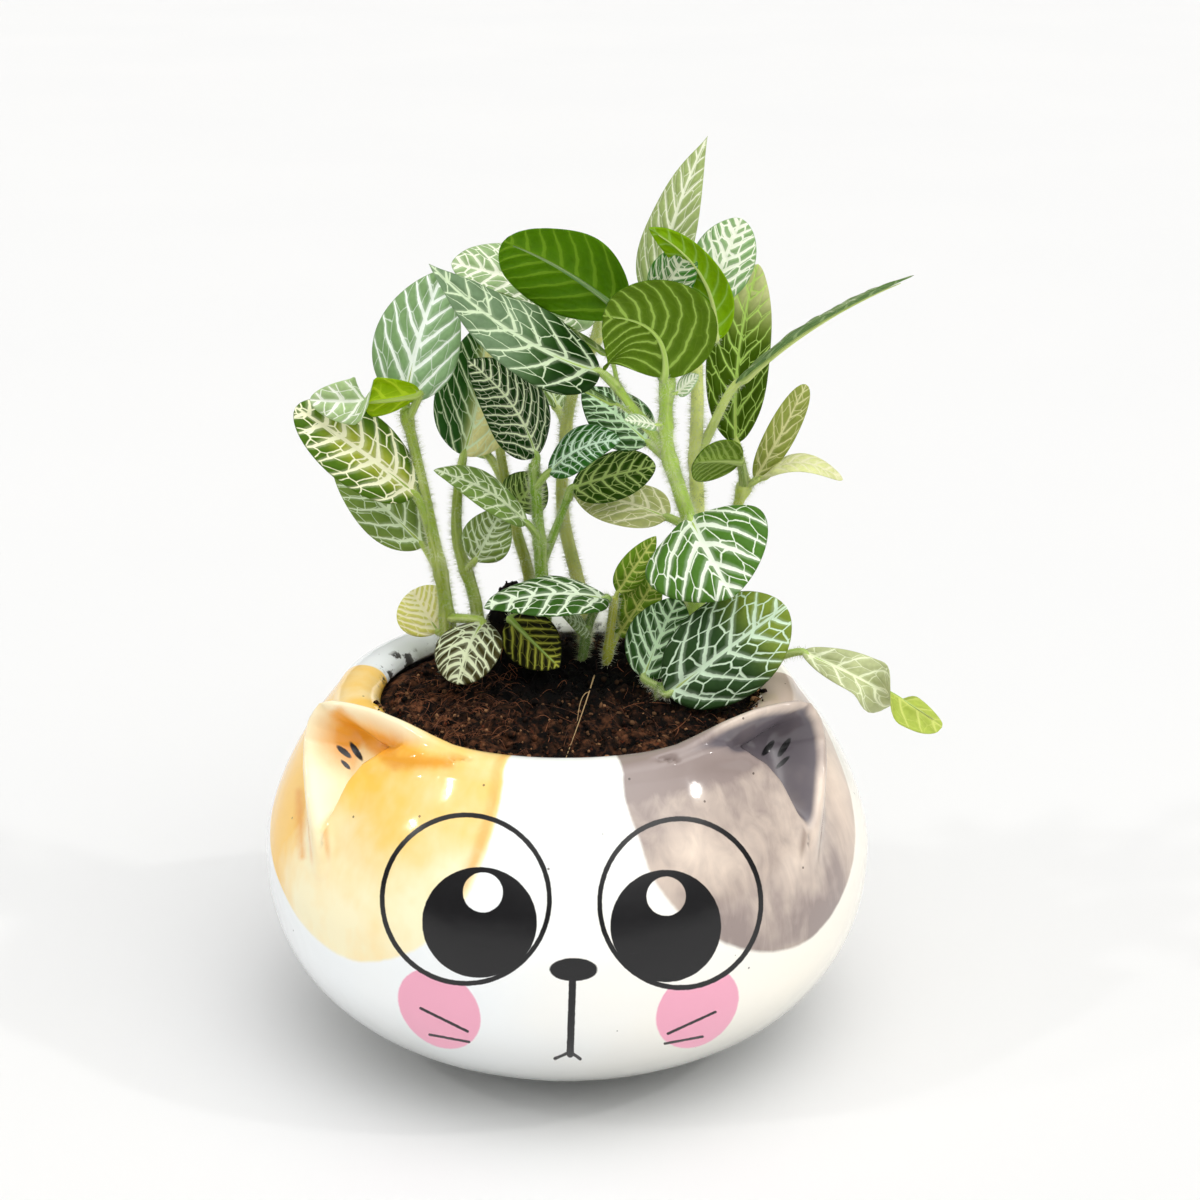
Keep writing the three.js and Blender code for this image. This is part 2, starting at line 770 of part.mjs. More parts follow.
// The frame of a leaf's midrib at a share of its length: place, direction along, to the side and up.
function leafFrame(leaf, share) {
  const base = new THREE.Vector3(...leaf.base);
  const chord = new THREE.Vector3(...leaf.tip).sub(base);
  const length = chord.length();
  const along = chord.clone().normalize();
  const face = new THREE.Vector3(...leaf.face);
  const up = face.addScaledVector(along, -face.dot(along)).normalize();
  const across = along.clone().cross(up);
  const bulge = 4 * share * (1 - share);
  const slope = 4 * (1 - 2 * share);
  const arch = leaf.arch ?? USUAL.arch;
  const bow = leaf.bow ?? USUAL.bow;
  const place = base.addScaledVector(chord, share)
    .addScaledVector(up, arch * length * bulge)
    .addScaledVector(across, bow * length * bulge);
  const tangent = along.addScaledVector(up, arch * slope).addScaledVector(across, bow * slope).normalize();
  const normal = up.addScaledVector(tangent, -up.dot(tangent)).normalize();
  const turned = THREE.MathUtils.smoothstep(share, ...(leaf.turn ?? USUAL.turn));
  normal.applyAxisAngle(tangent, THREE.MathUtils.degToRad((leaf.twist ?? USUAL.twist) * turned));
  return { place, tangent, side: tangent.clone().cross(normal), normal };
}

// Half the width of a leaf at a share of its length. The blunt value rounds or sharpens the tip.
function halfWidth(leaf, share) {
  const fall = leaf.blunt ?? USUAL.blunt;
  const widest = BLADE_RISE / (BLADE_RISE + fall);
  const peak = widest ** BLADE_RISE * (1 - widest) ** fall;
  const shape = (share ** BLADE_RISE * (1 - share) ** fall) / peak;
  return Math.max(BLADE_END_HALF_WIDTH, (leaf.width / 2) * shape);
}

// A point on the blade's middle surface and the normal there; across runs from -1 to 1.
function bladePoint(leaf, share, across) {
  const frame = leafFrame(leaf, share);
  const half = halfWidth(leaf, share);
  const fold = THREE.MathUtils.degToRad(leaf.fold ?? USUAL.fold);
  const curl = leaf.curl ?? USUAL.curl;
  const reach = Math.abs(across);
  const middle = fold + (curl * reach) / 2;
  const edge = fold + curl * reach;
  const sign = Math.sign(across);
  const place = frame.place.clone()
    .addScaledVector(frame.side, sign * half * reach * Math.cos(middle))
    .addScaledVector(frame.normal, half * reach * Math.sin(middle));
  const normal = frame.normal.clone().multiplyScalar(Math.cos(edge))
    .addScaledVector(frame.side, -sign * Math.sin(edge)).normalize();
  return { place, normal };
}

// A blade is two like grids of triangles, one on each face, joined round the edge.
function bladeGeometry(leaf) {
  const positions = [];
  const triangles = [];
  const width = BLADE_COLUMNS + 1;
  const length = new THREE.Vector3(...leaf.tip).distanceTo(new THREE.Vector3(...leaf.base));
  const wanted = Math.round(length / BLADE_ROWS.length);
  const rows = THREE.MathUtils.clamp(wanted, BLADE_ROWS.least, BLADE_ROWS.most);
  const layer = width * (rows + 1);
  for (const face of [1, -1]) {
    for (let row = 0; row <= rows; row += 1) {
      for (let column = 0; column <= BLADE_COLUMNS; column += 1) {
        const across = (2 * column) / BLADE_COLUMNS - 1;
        const { place, normal } = bladePoint(leaf, row / rows, across);
        place.addScaledVector(normal, (face * BLADE_THICKNESS) / 2);
        positions.push(place.x, place.y, place.z);
      }
    }
  }
  const quad = (a, b, c, d) => triangles.push(a, b, c, a, c, d);
  for (let row = 0; row < rows; row += 1) {
    for (let column = 0; column < BLADE_COLUMNS; column += 1) {
      const a = row * width + column;
      const d = a + width;
      quad(a, a + 1, d + 1, d);
      triangles.push(layer + a, layer + d + 1, layer + a + 1, layer + a, layer + d, layer + d + 1);
    }
    const left = row * width;
    const right = left + BLADE_COLUMNS;
    quad(left, left + width, layer + left + width, layer + left);
    quad(right + width, right, layer + right, layer + right + width);
  }
  for (let column = 0; column < BLADE_COLUMNS; column += 1) {
    const far = rows * width + column;
    quad(column + 1, column, layer + column, layer + column + 1);
    quad(far, far + 1, layer + far + 1, layer + far);
  }
  return closedGeometry(positions, triangles);
}

function petioleGeometry(leaf) {
  const sunk = [2 * SINK, SINK].map((share) => leafFrame(leaf, share).place.toArray());
  const path = [leaf.from, leaf.base, sunk[1], sunk[0]];
  return tubeGeometry(path, PETIOLE_RADIUS);
}

function shootGeometry(shoot) {
  const pieces = shoot.stems.map((stem) => tubeGeometry(stem.path, stem.radius));
  for (const leaf of shoot.leaves) {
    pieces.push(petioleGeometry(leaf), bladeGeometry(leaf));
  }
  const solid = pieces.map(toManifold).reduce((whole, piece) => whole.add(piece));
  return fromManifold(largestBody(solid));
}

const plant = new THREE.Group();

function addMesh(name, geometry, look) {
  const mesh = new THREE.Mesh(geometry, look);
  mesh.name = name;
  plant.add(mesh);
}

addMesh("pot", potGeometry(), material("glaze", 0xfbf8f2, 0.12));

let soil = toManifold(soilGeometry());
for (const shoot of SHOOTS) {
  soil = soil.subtract(toManifold(holeGeometry(shoot.stems[0])));
  addMesh(shoot.name, shootGeometry(shoot), material(`${shoot.name}_green`, shoot.colour, 0.5));
}
addMesh("soil", fromManifold(largestBody(soil)), material("peat", 0x3a2117, 0.95));

export default plant;
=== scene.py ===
"""Looks for the potted nerve plant: cat-faced glazed pot, soil, and veined leaves on hairy stems."""

import math
from functools import partialmethod, reduce

import bpy
import numpy as np
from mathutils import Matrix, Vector


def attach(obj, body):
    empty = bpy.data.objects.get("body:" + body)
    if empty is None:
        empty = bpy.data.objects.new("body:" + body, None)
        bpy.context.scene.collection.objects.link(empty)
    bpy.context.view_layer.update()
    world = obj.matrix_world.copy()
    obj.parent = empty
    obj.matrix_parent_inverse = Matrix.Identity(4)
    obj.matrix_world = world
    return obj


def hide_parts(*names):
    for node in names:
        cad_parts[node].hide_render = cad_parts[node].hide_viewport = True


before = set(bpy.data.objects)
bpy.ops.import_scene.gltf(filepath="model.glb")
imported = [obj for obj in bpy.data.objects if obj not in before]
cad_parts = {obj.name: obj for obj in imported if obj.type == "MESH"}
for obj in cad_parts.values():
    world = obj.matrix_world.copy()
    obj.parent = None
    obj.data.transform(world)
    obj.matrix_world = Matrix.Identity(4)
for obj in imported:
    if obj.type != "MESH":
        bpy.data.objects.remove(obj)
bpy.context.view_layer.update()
MM = 0.001

# The photograph's view. Lengths are millimetres, pixels those of the 1200 x 1200 photograph.
PHOTO_PX = 1200.0
FOCAL_PX = 2316.0
PHOTO_CENTRE = PHOTO_PX / 2
CAMERA_ELEVATION = math.radians(19.0)
CAMERA_AIM = np.array([6.5, 0.0, 89.5])
CAMERA_DISTANCE = 450.0
CAMERA_AWAY = np.array([0.0, -math.cos(CAMERA_ELEVATION), math.sin(CAMERA_ELEVATION)])
CAMERA_PLACE = CAMERA_AIM + CAMERA_DISTANCE * CAMERA_AWAY
CAMERA_UP = np.array([0.0, math.sin(CAMERA_ELEVATION), math.cos(CAMERA_ELEVATION)])


def photo_pixels(points):
    """Where points would lie in the photograph."""
    seen = points - CAMERA_PLACE
    depth = seen @ -CAMERA_AWAY
    across = FOCAL_PX * seen[:, 0] / depth
    up = FOCAL_PX * (seen @ CAMERA_UP) / depth
    return np.stack([PHOTO_CENTRE + across, PHOTO_CENTRE - up], axis=-1)


# Colours as they look in the photograph, 0 to 255.
TINTS = {
    "shaded cool white": (246, 250, 252), "lit warm white": (254, 249, 236), "painted foot shade": (170, 172, 168),
    "pale apricot": (255, 245, 204), "deep apricot": (255, 205, 92), "ridge highlight cream": (255, 240, 206),
    "pooled amber": (246, 170, 44), "crease amber": (228, 140, 28), "amber and shade stroke": (238, 160, 44),
    "edge amber": (240, 180, 92), "pale smoke": (246, 228, 210), "deep smoke": (152, 137, 132),
    "outer beige": (232, 208, 186), "hollow shade grey": (104, 97, 103), "crease brown": (128, 108, 98),
    "pink": (246, 172, 196), "deep pink": (240, 160, 188), "ink": (10, 9, 12), "worn ink": (96, 94, 102),
    "speck": (60, 45, 38), "soil dust": (36, 26, 20), "soil shadow": (5, 3, 3), "damp soil": (20, 12, 9),
    "dry soil": (120, 76, 50), "soil grain": (138, 94, 64), "red soil": (134, 66, 38),
    "pale crumb": (168, 124, 88), "dark coir": (58, 34, 24), "coir": (142, 88, 58), "straw": (196, 166, 122),
    "stem light": (232, 240, 176), "stem green": (92, 146, 44), "stem foot": (120, 92, 56),
    "hair": (236, 240, 216), "shaded hair": (178, 188, 142),
}


def to_linear(colour):
    """A colour as it looks in the photograph, 0 to 255, as linear light."""
    c = np.asarray(colour, float) / 255.0
    return np.where(c <= 0.04045, c / 12.92, ((c + 0.055) / 1.055) ** 2.4)


# Small helpers for shapes.
def unit(v):
    return v / np.maximum(np.linalg.norm(v, axis=-1, keepdims=True), 1e-9)


def smoothstep(low, high, x):
    x = np.clip((x - low) / (high - low), 0, 1)
    return x * x * (3 - 2 * x)


HASH_STEPS = (73856093, 19349663, 83492791)
HASH_SEED = 2654435761
HASH_MIX = np.int64(1274126177)
HASH_TOP = 0xFFFF


def lattice(ix, iy, iz, seed):
    """A random number from -1 to 1 for each corner of a grid, the same for the same seed."""
    h = (ix * HASH_STEPS[0]) ^ (iy * HASH_STEPS[1]) ^ (iz * HASH_STEPS[2])
    h = h ^ np.int64(seed * HASH_SEED % 2**31)
    h = (h ^ (h >> 13)) * HASH_MIX
    h = h ^ (h >> 16)
    return (h & HASH_TOP) / (HASH_TOP / 2) - 1


def noise(points, scale, seed):
    """Smooth noise from -1 to 1."""
    grid = points / scale
    cell = np.floor(grid).astype(np.int64)
    f = grid - cell
    f = f * f * (3 - 2 * f)
    total = np.zeros(len(points))
    for corner in range(8):
        step = np.array([corner & 1, corner >> 1 & 1, corner >> 2 & 1])
        share = np.prod(np.where(step == 1, f, 1 - f), axis=1)
        total += share * lattice(*(cell + step).T, seed)
    return total


def spaced(ranges):
    """Values in even steps, for each range of first, last and how many."""
    return np.concatenate([np.linspace(*each) for each in ranges])


def catmull(points, steps):
    """A centripetal Catmull-Rom curve through points, as many steps between each two."""
    p = np.asarray(points, float)
    p = np.vstack([2 * p[0] - p[1], p, 2 * p[-1] - p[-2]])
    out = []
    for i in range(1, len(p) - 2):
        a, b, c, d = p[i - 1 : i + 3]
        t0, t1, t2 = (max(np.linalg.norm(v) ** 0.5, 1e-4) for v in (b - a, c - b, d - c))
        m1 = ((b - a) / t0 - (c - a) / (t0 + t1) + (c - b) / t1) * t1
        m2 = ((c - b) / t1 - (d - b) / (t1 + t2) + (d - c) / t2) * t1
        t = np.linspace(0, 1, steps, endpoint=False)[:, None]
        leaving = b * (2 * t**3 - 3 * t**2 + 1) + m1 * (t**3 - 2 * t**2 + t)
        out.append(leaving + c * (3 * t**2 - 2 * t**3) + m2 * (t**3 - t**2))
    return np.vstack(out + [p[-2][None]])


class Shape:
    """Points, faces and values at points, gathered before they become one mesh. Lengths are millimetres."""

    def __init__(self):
        self.points, self.faces, self.slots, self.values, self.count = [], [], [], {}, 0

    def add_faces(self, faces, slot=0):
        """Faces whose corners count from the shape's first point."""
        self.faces.append(np.asarray(faces, np.int64))
        self.slots.append(np.full(len(faces), slot))

    def add(self, points, faces, slot=0, **values):
        """Points with their faces, whose corners count from the first of these points."""
        points = np.asarray(points, float)
        for name, data in values.items():
            data = np.asarray(data, float)
            if data.ndim == 1 and len(data) != len(points):
                data = np.broadcast_to(data, (len(points), len(data)))
            self.values.setdefault(name, []).append((self.count, data))
        for face in faces:
            self.add_faces(face + self.count, slot)
        self.points.append(points)
        self.count += len(points)

    def build(self, name, materials, slot_name, replaces=(), smooth=True):
        """The gathered shape as a piece that rides on the root."""
        mesh = bpy.data.meshes.new(name)
        points = np.vstack(self.points) * MM
        mesh.vertices.add(len(points))
        mesh.vertices.foreach_set("co", points.ravel())
        loops = np.concatenate([f.ravel() for f in self.faces])
        sizes = np.concatenate([np.full(len(f), f.shape[1]) for f in self.faces])
        mesh.loops.add(len(loops))
        mesh.loops.foreach_set("vertex_index", loops)
        mesh.polygons.add(len(sizes))
        mesh.polygons.foreach_set("loop_start", np.concatenate([[0], np.cumsum(sizes)[:-1]]))
        for material in materials:
            mesh.materials.append(material)
        mesh.polygons.foreach_set("material_index", np.concatenate(self.slots).astype(np.int32))
        mesh.update(calc_edges=True)
        mesh.validate()
        mesh.polygons.foreach_set("use_smooth", np.full(len(mesh.polygons), smooth))
        for key, parts in self.values.items():
            width = parts[0][1].shape[1] if parts[0][1].ndim == 2 else 1
            data = np.zeros((self.count, width))
            for start, part in parts:
                data[start : start + len(part)] = part.reshape(len(part), width)
            kind, field = ("FLOAT", "value") if width == 1 else ("FLOAT_VECTOR", "vector")
            mesh.attributes.new(key, kind, "POINT").data.foreach_set(field, data.ravel())
        piece = bpy.data.objects.new(name, mesh)
        bpy.context.scene.collection.objects.link(piece)
        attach(piece, "root")
        if replaces:
            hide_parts(*replaces)
        return piece


def grid_faces(rows, columns, closed=False, flip=False):
    """The quads of a grid whose points run along columns first."""
    last = columns if closed else columns - 1
    r, c = np.meshgrid(np.arange(rows - 1), np.arange(last), indexing="ij")
    a = (r * columns + c).ravel()
    b = (r * columns + (c + 1) % columns).ravel()
    quads = np.stack([a, b, b + columns, a + columns], axis=-1)
    return quads[:, ::-1] if flip else quads


# No tube starts off along this way, so that its first side can be found from it.
SWEEP_FIRST_SIDE = (0.3, 0.9, 0.2)


def sweep(path, radii, sides, ridges=0.0):
    """A closed tube along path: its points, faces, and frames for what grows on it."""
    tangent = unit(np.gradient(path, axis=0))
    across = np.zeros_like(path)
    across[0] = unit(np.cross(tangent[0], SWEEP_FIRST_SIDE))
    for i in range(1, len(path)):
        across[i] = unit(across[i - 1] - np.dot(across[i - 1], tangent[i]) * tangent[i])
    other = np.cross(tangent, across)
    angle = np.arange(sides) / sides * 2 * math.pi
    outward = across[:, None] * np.cos(angle)[None, :, None] + other[:, None] * np.sin(angle)[None, :, None]
    r = radii[:, None] * (1 + ridges * np.cos(4 * angle)[None, :])
    points = path[:, None] + outward * r[..., None]
    n = len(path)
    points = np.vstack([points.reshape(-1, 3), path[:1], path[-1:] + tangent[-1:] * radii[-1] * 0.5])
    ring = np.arange(sides)
    following = (ring + 1) % sides
    top = (n - 1) * sides
    low = np.stack([following, ring, np.full(sides, n * sides)], axis=-1)
    high = np.stack([top + ring, top + following, np.full(sides, n * sides + 1)], axis=-1)
    length = np.concatenate([[0], np.cumsum(np.linalg.norm(np.diff(path, axis=0), axis=1))])
    along = np.concatenate([np.repeat(length, sides), [0, length[-1]]])
    turn = np.concatenate([np.tile(angle, n), [0, 0]])
    faces = [grid_faces(n, sides, closed=True), low, high]
    return points, faces, along, turn, (path, outward, radii, tangent, length)


# Materials made of nodes.
def plug(tree, socket, value):
    """Feed a socket from a field or a socket, or set it to a number, a vector or a tint's name."""
    if isinstance(value, Field):
        value = value.socket
    if isinstance(value, str):
        value = to_linear(TINTS[value])
    if isinstance(value, bpy.types.NodeSocket):
        tree.links.new(value, socket)
    elif hasattr(value, "__len__"):
        socket.default_value = (*value, 1.0)[: len(socket.default_value)]
    else:
        socket.default_value = float(value)


class Field:
    """A number in a node tree; arithmetic on it adds Math nodes."""

    def __init__(self, tree, socket):
        self.tree, self.socket = tree, socket

    def apply(self, operation, *others, clamp=False):
        node = self.tree.nodes.new("ShaderNodeMath")
        node.operation = operation
        node.use_clamp = clamp
        for socket, value in zip(node.inputs, (self, *others)):
            plug(self.tree, socket, value)
        return Field(self.tree, node.outputs[0])

    __add__ = __radd__ = partialmethod(apply, "ADD")
    __sub__ = partialmethod(apply, "SUBTRACT")
    __mul__ = __rmul__ = partialmethod(apply, "MULTIPLY")
    __truediv__ = partialmethod(apply, "DIVIDE")
    __neg__ = partialmethod(apply, "MULTIPLY", -1)
    __pow__ = partialmethod(apply, "POWER")
    abs = partialmethod(apply, "ABSOLUTE")
    root = partialmethod(apply, "SQRT")
    sine = partialmethod(apply, "SINE")
    cosine = partialmethod(apply, "COSINE")
    fract = partialmethod(apply, "FRACT")
    floor = partialmethod(apply, "FLOOR")
    lower = partialmethod(apply, "MINIMUM")
    upper = partialmethod(apply, "MAXIMUM")
    clamp = partialmethod(apply, "ADD", 0.0, clamp=True)

    def __rsub__(self, other):
        return -self + other

    def ramp(self, low, high):
        """0 at low and 1 at high, smooth between; low may be the larger."""
        node = self.tree.nodes.new("ShaderNodeMapRange")
        node.interpolation_type = "SMOOTHSTEP"
        for name, value in (("Value", self), ("From Min", low), ("From Max", high)):
            plug(self.tree, node.inputs[name], value)
        return Field(self.tree, node.outputs[0])


class Look:
    """A material made of nodes round one Principled shader."""

    def __init__(self, name, specular):
        self.material = bpy.data.materials.new(name)
        self.material.use_nodes = True
        self.tree = self.material.node_tree
        self.shader = next(n for n in self.tree.nodes if n.type == "BSDF_PRINCIPLED")
        self.shader.inputs["Specular IOR Level"].default_value = specular

    def node(self, kind, feeds, **settings):
        """A new node with its settings, and what feeds its inputs by their names or numbers."""
        node = self.tree.nodes.new(kind)
        for key, value in settings.items():
            setattr(node, key, value)
        for socket, value in feeds.items():
            plug(self.tree, node.inputs[socket], value)
        return node

    def attribute(self, name, output="Color"):
        """What the mesh stores at its points, a colour unless another output is named."""
        return self.node("ShaderNodeAttribute", {}, attribute_name=name).outputs[output]

    def number(self, name):
        return Field(self.tree, self.attribute(name, "Fac"))

    def vector(self, name):
        return self.split(self.attribute(name, "Vector"))

    def split(self, socket):
        outputs = self.node("ShaderNodeSeparateXYZ", {0: socket}).outputs
        return [Field(self.tree, output) for output in outputs]

    def join(self, *parts):
        return self.node("ShaderNodeCombineXYZ", dict(enumerate(parts))).outputs[0]

    def scaled(self, vector, factor):
        """A place or a colour times a number."""
        return self.node("ShaderNodeVectorMath", {0: vector, "Scale": factor}, operation="SCALE").outputs[0]

    def place(self):
        """The point in the object's own frame, in millimetres."""
        return self.scaled(self.node("ShaderNodeTexCoord", {}).outputs["Object"], 1 / MM)

    def stretched(self, where, scale, rotation):
        """A place turned and squeezed, for marks that run one way."""
        feeds = {"Vector": where, "Scale": scale, "Rotation": rotation}
        return self.node("ShaderNodeMapping", feeds).outputs[0]

    def noise(self, where, scale, detail=2.0, roughness=0.5, distortion=0.0):
        feeds = {"Vector": where, "Scale": scale, "Detail": detail, "Roughness": roughness}
        node = self.node("ShaderNodeTexNoise", {**feeds, "Distortion": distortion})
        return Field(self.tree, node.outputs[0])

    def cells(self, where, scale, randomness=1.0, **settings):
        """Distance to the nearest centre of a field of cells, or to the nearest edge."""
        feeds = {"Vector": where, "Scale": scale, "Randomness": randomness}
        return Field(self.tree, self.node("ShaderNodeTexVoronoi", feeds, **settings).outputs["Distance"])

    def mix(self, share, a, b):
        """From colour a to colour b by share."""
        return self.node("ShaderNodeMix", {0: share, 6: a, 7: b}, data_type="RGBA").outputs[2]

    def layered(self, colour, *layers):
        """A colour with others laid over it, each by its share."""
        for share, over in layers:
            colour = self.mix(share, colour, over)
        return colour

    def finish(self, colour, roughness, height=None, depth_mm=0.1, strength=1.0):
        surface = {"Base Color": colour, "Roughness": roughness}
        if height is not None:
            relief = {"Strength": strength, "Distance": depth_mm * MM, "Height": height}
            surface["Normal"] = self.node("ShaderNodeBump", relief).outputs[0]
        for socket, value in surface.items():
            plug(self.tree, self.shader.inputs[socket], value)
        return self.material


# The pot. Lengths are millimetres, angles degrees; an azimuth counts from the front towards the right.
POT_RADIUS = 60.0
WIDEST_Z = 41.0
# How far the body's curve reaches below and above its widest ring, and the power of the curve.
LOWER = (41.2, 2.45)
UPPER = (56.5, 1.6)
BASE_RADIUS = 24.0
WALL = 4.5
FLOOR_Z = 6.0
FLOOR_RADIUS = 28.0
SHOULDER_END_Z = 70.9
# The lip's round section: where its middle lies, half its width and height, its first and last turn.
LIP = {"radius": 41.2, "z": 69.6, "across": 4.6, "up": 3.6, "start": 32.0, "end": 180.0, "rings": 26}
# A spun skin ends in a ring this close to the axis.
AXIS_GAP = 0.01
BASE_RINGS = [(AXIS_GAP, 0), (8, 0), (16, 0), (22, 0), (BASE_RADIUS, 0), (25.4, 0.9)]
# Heights of rings, as first, last and how many.
OUTER_RINGS = [(2, 46, 36), (46.6, 70.1, 54)]
INNER_RINGS = [(68, 56, 9), (50, 7, 9)]
# Parts of the half turn, as first, last and how many columns: the ears are the finest.
POT_COLUMNS = [(0, 24, 32), (24, 80, 150), (80, 180, 76)]
# The lip's ring from which the inner side counts, and over how many rings it begins.
INNER_SIDE = (9, 12)
# The wall's unevenness: how deep, how wide its waves are, and the height from which it starts.
UNEVEN = {"depth": 0.12, "scale": 11.0, "from_z": 3}
# The foot curves out of the camera's sight here, and no paint of the face goes below.
OUT_OF_SIGHT_Z = (7.0, 5.6)
# The ears, as in the solid: azimuth, height, rise and lean of the ridge and of the brow, the hollow between.
EAR_RIDGE = [
    (20, 73, 0.2, 0), (30, 73, 1.2, 0), (36.5, 73, 2.5, 0.05), (41.5, 73, 3.5, 0.15), (47, 73, 4.8, 0.4),
    (51.5, 73, 6.2, 0.65), (56, 72.6, 7.6, 0.8), (60, 72, 8.6, 0.95), (63.5, 71, 8.6, 1.15),
    (65.2, 68.6, 7.5, 1.15), (65, 66, 6.3, 1.1), (61.8, 62.5, 5, 1.1), (57.3, 58.3, 3.6, 1.1),
    (53.5, 54, 2, 1.1), (51, 50, 0.3, 1.1),
]
EAR_BROW = [
    (29, 71.8, 0, 1.1), (34, 71.6, 0.7, 1.1), (41, 70.7, 1.2, 1.1), (46, 69.4, 1.4, 1.1),
    (49.3, 67.2, 1.4, 1.1), (51, 64, 1.3, 1.1), (51.6, 59.8, 0.9, 1.1), (52, 55.5, 0.2, 1.1),
]
EAR_RIDGE_WIDTH = 2.8
EAR_BROW_WIDTH = 2.2
EAR_HOLLOW_DEPTH = 4.0
EAR_HOLLOW_BANK = 3.0
EAR_HOLLOW_BESIDE_RIDGE = (0.4, 3.2)
EAR_CENTRE = (57, 66)
# Outlines of the two painted patches, as azimuth and height.
ORANGE_PATCH = [
    (-14.6, 84), (-14.0, 73), (-13.6, 69), (-14.1, 63.4), (-15.6, 57.5), (-19, 49.5), (-25.1, 42.8),
    (-32.4, 38.1), (-40.3, 35.4), (-48.3, 35.3), (-56.6, 37), (-64, 39.8), (-74.1, 43.8), (-85, 50),
    (-94, 59), (-100, 70), (-102, 84),
]
GREY_PATCH = [
    (15, 84), (13.9, 73), (13.3, 69), (13.6, 66.5), (15.1, 61.4), (16.5, 56.1), (22, 48), (29.3, 42.2),
    (38.3, 37.8), (48.3, 36.2), (56.2, 38.1), (63.1, 42), (70.5, 47.1), (76.5, 53), (82.1, 59.2), (89, 64),
    (95, 72), (98, 84),
]
DEGREE_MM = 0.9
PATCH_ON_LIP_Z = 72


def outer_radius(z):
    z = np.asarray(z, float)
    above = z > WIDEST_Z
    reach = np.where(above, (z - WIDEST_Z) / UPPER[0], (WIDEST_Z - z) / LOWER[0])
    power = np.where(above, UPPER[1], LOWER[1])
    return POT_RADIUS * np.clip(1 - np.clip(reach, 0, 1) ** power, 0, 1) ** (1 / power)


def inner_profile(depth, floor, z):
    """A profile at a depth under the outer face, down to a floor."""
    slope = outer_radius(z + 0.5) - outer_radius(z - 0.5)
    length = np.hypot(1, slope)
    side = np.stack([outer_radius(z) - depth / length, z + depth * slope / length], axis=-1)
    return np.vstack([side, [[FLOOR_RADIUS, floor], [FLOOR_RADIUS * 0.5, floor], [0, floor]]])


def lip_profile(turn):
    """Radius and height on the lip, where a turn of 0 points outwards."""
    return LIP["radius"] + LIP["across"] * np.cos(turn), LIP["z"] + LIP["up"] * np.sin(turn)


def azimuth_of(points):
    return np.degrees(np.arctan2(points[:, 0], -points[:, 1]))


def on_pot(azimuth, z):
    """A point of the outer face, or of the lip's outer half above SHOULDER_END_Z."""
    a = math.radians(azimuth)
    over = min(1.0, abs(z - LIP["z"]) / LIP["up"])
    r = LIP["radius"] + LIP["across"] * math.sqrt(1 - over**2)
    if z < SHOULDER_END_Z:
        r = float(outer_radius(z))
    return np.array([math.sin(a) * r, -math.cos(a) * r, z])


def nearest_on(a, b, points):
    """The share along the line from a to b nearest each point, and the distance and place there."""
    share = np.clip((points - a) @ (b - a) / np.dot(b - a, b - a), 0, 1)
    place = a + share[:, None] * (b - a)
    return share, np.linalg.norm(points - place, axis=1), place


def inside_outline(corners, x, y):
    """Which places of a plane lie inside a closed outline."""
    inside = np.zeros(len(x), bool)
    for a, b in zip(corners, [*corners[1:], corners[0]]):
        crossing = a[0] + (y - a[1]) / ((b[1] - a[1]) or 1e-9) * (b[0] - a[0])
        inside ^= ((a[1] > y) != (b[1] > y)) & (x < crossing)
    return inside


def signed_distance(outline, points):
    """Distance from points in the plane to a closed outline, positive inside."""
    best = np.full(len(points), 1e9)
    for a, b in zip(outline, np.roll(outline, -1, axis=0)):
        best = np.minimum(best, nearest_on(a, b, points)[1])
    return np.where(inside_outline(outline, points[:, 0], points[:, 1]), best, -best)


def beside(line, points):
    """Distance from points to a line of the ear, positive towards the hollow; the rise and lean there."""
    centre = on_pot(*EAR_CENTRE)
    away, rise, lean = np.full(len(points), 1e9), np.zeros(len(points)), np.zeros(len(points))
    side = np.ones(len(points))
    for a, b in zip(line, line[1:]):
        share, here, place = nearest_on(on_pot(*a[:2]), on_pot(*b[:2]), points)
        nearer = here < away
        away = np.where(nearer, here, away)
        rise = np.where(nearer, a[2] + (b[2] - a[2]) * share, rise)
        lean = np.where(nearer, a[3] + (b[3] - a[3]) * share, lean)
        inside = np.einsum("ij,ij->i", points - place, centre - place) > 0
        side = np.where(nearer, np.where(inside, 1, -1), side)
    return away * side, rise, lean


def bell(x, centre, width):
    """1 at the centre, falling off on both sides."""
    return np.exp(-(((x - centre) / width) ** 2))


